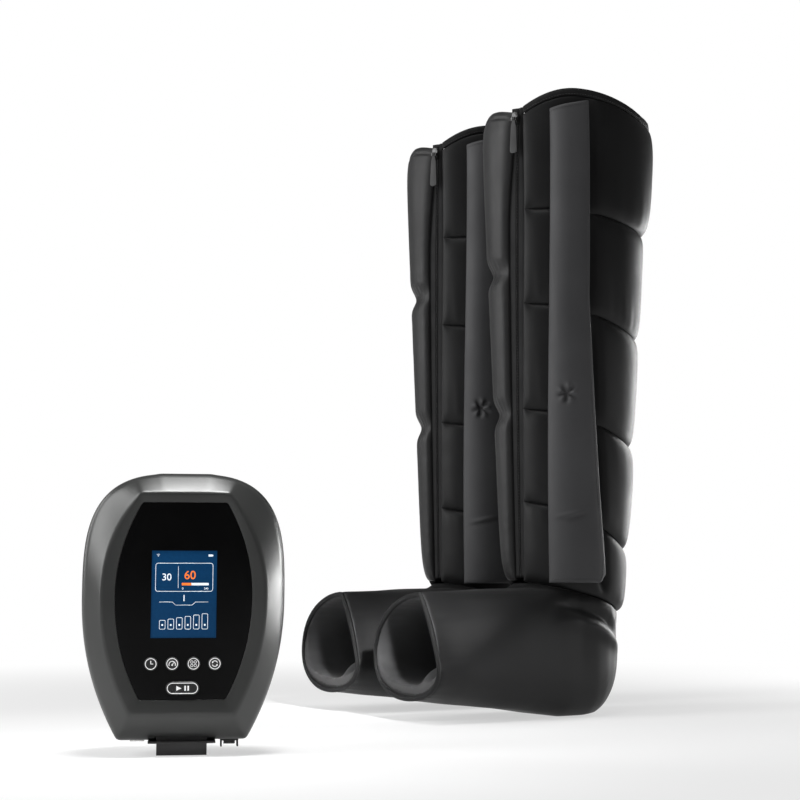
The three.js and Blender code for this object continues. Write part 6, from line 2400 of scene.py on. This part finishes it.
@dataclass
class Display:
    """Lit picture of the display: frames, bars and plain numbers."""

    glass: float = -0.0253
    line: float = 0.00045
    frame_width: float = 0.0483
    frame_height: float = 0.0238
    frame_z: float = 0.1501
    cells: int = 6
    cell_pitch: float = 0.00715
    cell_width: float = 0.0048
    cell_bottom: float = 0.1064
    cell_low: float = 0.0074
    cell_step: float = 0.0011

    def white(self) -> Object:
        """Frames, lines, cells and white numbers."""
        marks = Marks(0, 0, self.glass)
        outline = Marks.pill(0, self.frame_z, self.frame_width, self.frame_height, 0.002)
        marks.line(outline, self.line, closed=True)
        marks.line([(-0.0051, self.frame_z - 0.0092), (-0.0051, self.frame_z + 0.0092)], self.line * 0.7)
        marks.number("30", -0.0148, 0.1500, 0.0058)
        marks.patch(Marks.pill(0.0134, 0.1443, 0.0146, 0.0021, 0.0003))
        marks.number("0", -0.0012, 0.1405, 0.0017)
        marks.number("240", 0.0186, 0.1405, 0.0017)
        marks.number("1", 0.0, 0.1322, 0.0052)
        dip = [(-0.0207, 0.1292), (-0.0098, 0.1292), (-0.0070, 0.1266), (0.0070, 0.1266), (0.0098, 0.1292)]
        marks.line(dip + [(0.0205, 0.1292)], self.line * 0.8)
        for i in range(self.cells):
            x = (i - (self.cells - 1) / 2) * self.cell_pitch
            height = self.cell_low + i * self.cell_step
            middle = self.cell_bottom + height / 2
            marks.line(Marks.pill(x, middle, self.cell_width, height, 0.0009), self.line, closed=True)
            marks.disc(x, self.cell_bottom + self.cell_low / 2 - 0.0002, 0.0008)
        self.status(marks)
        return marks.finish("display_white_marks")

    def status(self, marks: Marks) -> None:
        """Signal fan and battery in the top corners.

        Args:
            marks: What they are added to.
        """
        for radius in (0.0009, 0.0018):
            marks.line(Marks.arc(-0.0222, 0.1678, radius, 45, 135, 10), 0.0004)
        marks.disc(-0.0222, 0.1678, 0.0003)
        marks.patch(Marks.pill(0.0220, 0.1686, 0.0036, 0.0018, 0.0003))
        marks.patch(Marks.pill(0.0241, 0.1686, 0.0005, 0.0009, 0.0001))

    def orange(self) -> Object:
        """The pressure number and the filled part of its bar."""
        marks = Marks(0, 0, self.glass)
        marks.number("60", 0.0048, 0.1516, 0.0070)
        marks.patch(Marks.pill(0.0020, 0.1443, 0.0080, 0.0021, 0.0003))
        return marks.finish("display_orange_marks")


@dataclass(frozen=True)
class Fitting:
    """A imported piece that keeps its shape, with its edges rounded or only its finish set."""

    node: str
    slot: str
    finish: Surface
    body: str = "controller"
    edge: float = 0.0
    flare: float = 0.0

    def dress(self) -> None:
        """Rounds the edges on a copy that stands for the node, or gives the node its finish."""
        if not self.edge:
            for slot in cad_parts[self.node].material_slots:
                slot.material = self.finish.material()
            return
        obj = rounded_copy(self.node, f"{self.node}_rounded", self.edge)
        if self.flare:
            self.widen(obj)
        finish_piece(obj, self.finish, self.slot, self.body, (self.node,))

    def widen(self, obj: Object) -> None:
        """Widens a hanging tag towards its lower end, across its broad face.

        Args:
            obj: The tag.
        """
        points = places_of(obj)
        flat = points[:, :2] - points[:, :2].mean(axis=0)
        across = np.linalg.svd(flat, full_matrices=False)[2][0]
        down = (points[:, 2].max() - points[:, 2]) / np.ptp(points[:, 2])
        grown = self.flare * smooth(0.1, 0.9, down) * (flat @ across)
        points[:, :2] += grown[:, None] * across
        move_to(obj, points)


def finish_piece(
    obj: Object, finish: Surface, slot: str, body: str | None, stands_for: Sequence[str] = ()
) -> Object:
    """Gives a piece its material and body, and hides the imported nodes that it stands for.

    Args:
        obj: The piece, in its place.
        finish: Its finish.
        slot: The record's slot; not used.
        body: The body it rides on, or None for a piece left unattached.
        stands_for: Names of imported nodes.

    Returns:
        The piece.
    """
    obj.data.materials.clear()
    obj.data.materials.append(finish.material())
    if body:
        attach(obj, body)
    if stands_for:
        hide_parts(*stands_for)
    LOG.info("%s: %d faces", obj.name, len(obj.data.polygons))
    return obj


@dataclass
class Controller:
    """The hand controller: its case, panel, keys, display and fittings."""

    case: Case = field(default_factory=Case)
    socket_y: float = 0.009
    screw_head: float = 0.0032
    screw_front: float = 0.0143
    screw_height: float = 0.0024
    screw_slot: float = 0.0009
    screw_slot_depth: float = 0.0012
    screw_edge: float = 0.0008
    shank_radius: float = 0.0015
    shank_end: float = -0.010
    fittings: tuple[Fitting, ...] = (
        Fitting("lcd_module", "display", Finishes.DISPLAY, edge=0.0003),
        Fitting("air_socket", "key_plastic", Finishes.SOCKET, edge=0.0008),
        Fitting("rocker_frame", "key_plastic", Finishes.SOCKET, edge=0.0003),
        Fitting("power_rocker", "key_plastic", Finishes.KEY, "rocker", 0.0005),
        Fitting("dc_jack", "steel", Finishes.STEEL, edge=0.0003),
        Fitting("rear_foot_lower", "rubber", Finishes.RUBBER, edge=0.0008),
        Fitting("rear_foot_upper", "rubber", Finishes.RUBBER, edge=0.0008),
        Fitting("control_board", "board", Finishes.BOARD),
        Fitting("air_pump", "grey_plastic", Finishes.GREY),
        Fitting("pump_motor", "steel", Finishes.STEEL),
        Fitting("valve_manifold", "grey_plastic", Finishes.GREY),
        Fitting("battery_pack", "battery_wrap", Finishes.BATTERY),
        Fitting("pump_hose", "tube", Finishes.TUBE),
    )
    valves: int = 6

    def place(self) -> Matrix:
        """Turn and place of the controller, from its packed panel, rear foot and air socket."""
        panel, strip, socket = (
            sum(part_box(node), Vector()) / 2 for node in ("front_panel", "rear_foot_upper", "air_socket")
        )
        back = strip - panel
        turn = Matrix.Rotation(math.atan2(-back.x, back.y), 4, "Z")
        origin = socket - turn @ Vector((0, self.socket_y, 0))
        origin.z = 0
        return Matrix.Translation(origin) @ turn

    def screws(self) -> list[Object]:
        """Round-edged screw heads with a cross recess, on their shanks."""
        made = []
        back = self.screw_front + self.screw_height
        for x, z in self.case.screw_places():
            head = bar("screw", self.screw_head, x, z, self.screw_front, back)
            bevel(head, self.screw_edge, 4)
            half, deep = self.screw_slot / 2, back - self.screw_slot_depth
            reach = self.screw_head * 0.6
            for across, up in ((reach, half), (half, reach)):
                low, high = (x - across, deep, z - up), (x + across, back + 0.001, z + up)
                combine(head, block("recess", low, high), "DIFFERENCE")
            shank_front = self.screw_front + 0.0005
            shank = bar("shank", self.shank_radius, x, z, self.shank_end, shank_front, 16)
            made.append(shade(join([head, shank]), 30))
        return made

    def build(self) -> None:
        """Builds and dresses every piece of the controller."""
        place, case, display = self.place(), self.case, Display()
        still = "controller"
        made = [
            (case.front(), "front_cover", Finishes.CASE, "case_plastic", still, ("front_shell",)),
            (case.rear_back(), "rear_cover", Finishes.CASE, "case_plastic", still, ("rear_shell",)),
            (case.panel_plate(), "gloss_panel", Finishes.PANEL, "panel", still, ("front_panel",)),
        ]
        for obj, *_ in made:
            shade(obj, 25)
        for key in (*ROUND_KEYS, START_KEY):
            made.append((key.build(), f"{key.name}_cap", Finishes.KEY, "key_plastic", key.body, (key.name,)))
        for obj, key in Icons().build():
            made.append((obj, obj.name, Finishes.PRINT, "display", key.body, ()))
        for obj, finish in ((display.white(), Finishes.LIT_WHITE), (display.orange(), Finishes.LIT_ORANGE)):
            made.append((obj, obj.name, finish, "display", still, ()))
        for i, obj in enumerate(self.screws(), 1):
            made.append((obj, f"screw_{i}", Finishes.STEEL, "steel", still, (f"case_screw_{i}",)))
        for obj, name, *rest in made:
            rename(obj, name).data.transform(place)
            finish_piece(obj, *rest)
        for fitting in self.fittings:
            fitting.dress()
        for i in range(self.valves):
            Fitting(f"solenoid_valve_{i + 1}", "steel", Finishes.STEEL).dress()


class Side(Enum):
    """The two boots of the set."""

    NEAR = "near"
    FAR = "far"


@dataclass
class Boot:
    """A boot in its place on the floor."""

    side: Side
    foot: Foot

    def place(self) -> Vector:
        """The leg's middle on the floor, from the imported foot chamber."""
        low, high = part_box(f"{self.side.value}_foot_chamber")
        return Vector((low[0] - self.foot.toe_x, (low[1] + high[1]) / 2, 0.0))

    def dress(self, pieces: Sequence[Piece]) -> None:
        """Copies the pieces to this boot and gives each its body, finish and node.

        Args:
            pieces: The pieces in the boot's own place.
        """
        shift = Matrix.Translation(self.place())
        prefix = self.side.value
        for piece in pieces:
            name = f"{prefix}_{piece.part}"
            mesh = piece.obj.data.copy()
            mesh.name = name
            mesh.transform(shift)
            obj = link(name, mesh)
            nodes = [f"{prefix}_{node}" for node in piece.stands_for]
            body = f"{prefix}_{piece.body}"
            finish_piece(obj, piece.finish, piece.slot, None if piece.fold else body, nodes)
            if piece.lining:
                obj.data.materials.append(piece.lining.material())
                inside = np.zeros(len(piece.obj.data.polygons), dtype=np.int32)
                piece.obj.data.polygons.foreach_get("material_index", inside)
                obj.data.polygons.foreach_set("material_index", inside)
            if piece.fold is not None:
                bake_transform(obj)
        for node, slot, finish, body, edge, flare in (
            ("zip_slider", "zip_metal", Finishes.ZIP_METAL, "slider", 0.0004, 0.0),
            ("zip_pull", "rubber", Finishes.RUBBER, "pull", 0.0003, 0.45),
            ("air_inlet", "grey_plastic", Finishes.GREY, "boot", 0.0006, 0.0),
        ):
            Fitting(f"{prefix}_{node}", slot, finish, f"{prefix}_{body}", edge, flare).dress()


@dataclass
class Studio:
    """Floor, lights and camera."""

    view_turn: float = -33.0
    camera_place: tuple[float, float, float] = (-0.8813, -1.4142, 0.140)
    pitch: float = 6.977
    lens: float = 69.57
    floor_radius: float = 30.0
    floor_tone: float = 0.86
    floor_bounce: float = 0.7
    fade: tuple[float, float] = (0.45, 1.5)
    near_glow: float = 0.55
    world_fill: float = 0.1

    def camera(self) -> None:
        """The camera, at the photograph's angle."""
        turn = (math.radians(90 + self.pitch), 0, math.radians(self.view_turn))
        camera = add(bpy.ops.object.camera_add, "camera", location=self.camera_place, rotation=turn)
        camera.data.lens = self.lens
        camera.data.sensor_width = 36
        bpy.context.scene.camera = camera

    def floor(self) -> None:
        """A wide pale floor that fades to white far away."""
        size = {"vertices": 96, "radius": self.floor_radius, "fill_type": "NGON"}
        floor = add(bpy.ops.mesh.primitive_circle_add, "floor", **size)
        floor.data.transform(Matrix.Translation((0, 0, -0.0004)))
        made = bpy.data.materials.new("pale_floor")
        made.use_nodes = True
        tree = made.node_tree
        shader = tree.nodes["Principled BSDF"]
        feed(tree, shader, {"Base Color": (*[self.floor_tone] * 3, 1), "Roughness": 0.7})
        white = add_node(tree, "Emission", {"Color": WHITE})
        place = coordinates(tree, Mapping.SOLID)
        length = add_node(tree, "VectorMath", {0: place}, operation="LENGTH").outputs["Value"]
        near, far = self.fade
        limits = {"From Min": near, "From Max": far, "To Min": self.near_glow}
        fade = add_node(tree, "MapRange", {"Value": length, **limits}, interpolation_type="SMOOTHSTEP")
        seen = add_node(tree, "LightPath", {}).outputs["Is Camera Ray"]
        bounce = add_node(tree, "MapRange", {"Value": seen, "To Min": self.floor_bounce})
        glow = compute(tree, "MULTIPLY", fade.outputs["Result"], bounce.outputs["Result"])
        ends = {"Fac": glow, 1: shader.outputs["BSDF"], 2: white.outputs["Emission"]}
        lit = add_node(tree, "MixShader", ends).outputs["Shader"]
        tree.links.new(lit, tree.nodes["Material Output"].inputs["Surface"])
        floor.data.materials.append(made)

    def world(self) -> None:
        """White surroundings for the camera, dimmer ones for the light that they give."""
        world = bpy.context.scene.world or bpy.data.worlds.new("studio")
        bpy.context.scene.world = world
        world.use_nodes = True
        tree = world.node_tree
        tree.nodes.clear()
        seen = add_node(tree, "Background", {"Color": WHITE, "Strength": 1.0})
        fill = add_node(tree, "Background", {"Color": WHITE, "Strength": self.world_fill})
        path = add_node(tree, "LightPath", {})
        ends = {"Fac": path.outputs["Is Camera Ray"], 1: fill.outputs[0], 2: seen.outputs[0]}
        lit = add_node(tree, "MixShader", ends).outputs[0]
        add_node(tree, "OutputWorld", {"Surface": lit})

    def softbox(
        self,
        name: str,
        place: Sequence[float],
        size: tuple[float, float],
        power: float,
        aim: Sequence[float] = (0.1, 0.0, 0.35),
        spread: float = 180.0,
    ) -> None:
        """An area light.

        Args:
            name: Its name.
            place: Where it stands.
            size: Its width and height.
            power: Its power in watts.
            aim: The point that it looks at.
            spread: Full angle of its beam, in degrees.
        """
        look = (Vector(aim) - Vector(place)).to_track_quat("-Z", "Y").to_euler()
        light = add(bpy.ops.object.light_add, name, type="AREA", location=place, rotation=look)
        light.data.shape = "RECTANGLE"
        light.data.size, light.data.size_y = size
        light.data.energy = power
        light.data.spread = math.radians(spread)
        light.visible_camera = False

    def build(self) -> None:
        """The whole studio."""
        self.camera()
        self.floor()
        self.world()
        case, toes = (-0.303, -0.18, 0.13), (0.03, 0.09, 0.05)
        self.softbox("key_left", (-2.0, 0.25, 1.1), (0.7, 1.8), 34)
        self.softbox("key_back", (-1.5, 1.5, 1.0), (0.5, 1.6), 14)
        self.softbox("rim_right", (1.5, 0.3, 0.42), (0.35, 0.75), 9)
        self.softbox("overhead", (-0.1, -0.25, 1.7), (0.7, 0.5), 5)
        self.softbox("case_right", (1.02, -0.56, 0.2), (0.2, 0.6), 0.6, case, 30)
        self.softbox("case_top", (-0.31, -0.42, 1.9), (0.5, 0.12), 1.0, case, 30)
        self.softbox("mouth_fill", (-0.3, -1.4, 1.0), (0.2, 0.1), 0.2, toes, 7)
        self.softbox("heel_rim", (1.4, -0.25, 0.14), (0.3, 0.12), 0.08, (0.3, -0.05, 0.0), 12)
        bpy.context.scene.view_settings.view_transform = "Standard"


def main() -> None:
    """Builds the studio, the boots and the controller, and reports each piece."""
    logging.basicConfig(level=logging.INFO, format="%(name)s %(message)s")
    Studio().build()
    leg = Leg()
    foot = Foot(leg)
    flap = HoseFlap(leg)
    pieces = LegWrap(leg, flap).build() + ShinCushion(leg).build() + Zip(leg).build()
    pieces += flap.build() + [AirTubes(flap).build()] + foot.build()
    for side in Side:
        Boot(side, foot).dress(pieces)
    for piece in pieces:
        bpy.data.objects.remove(piece.obj)
    Controller().build()


if __name__ == "__main__":
    main()
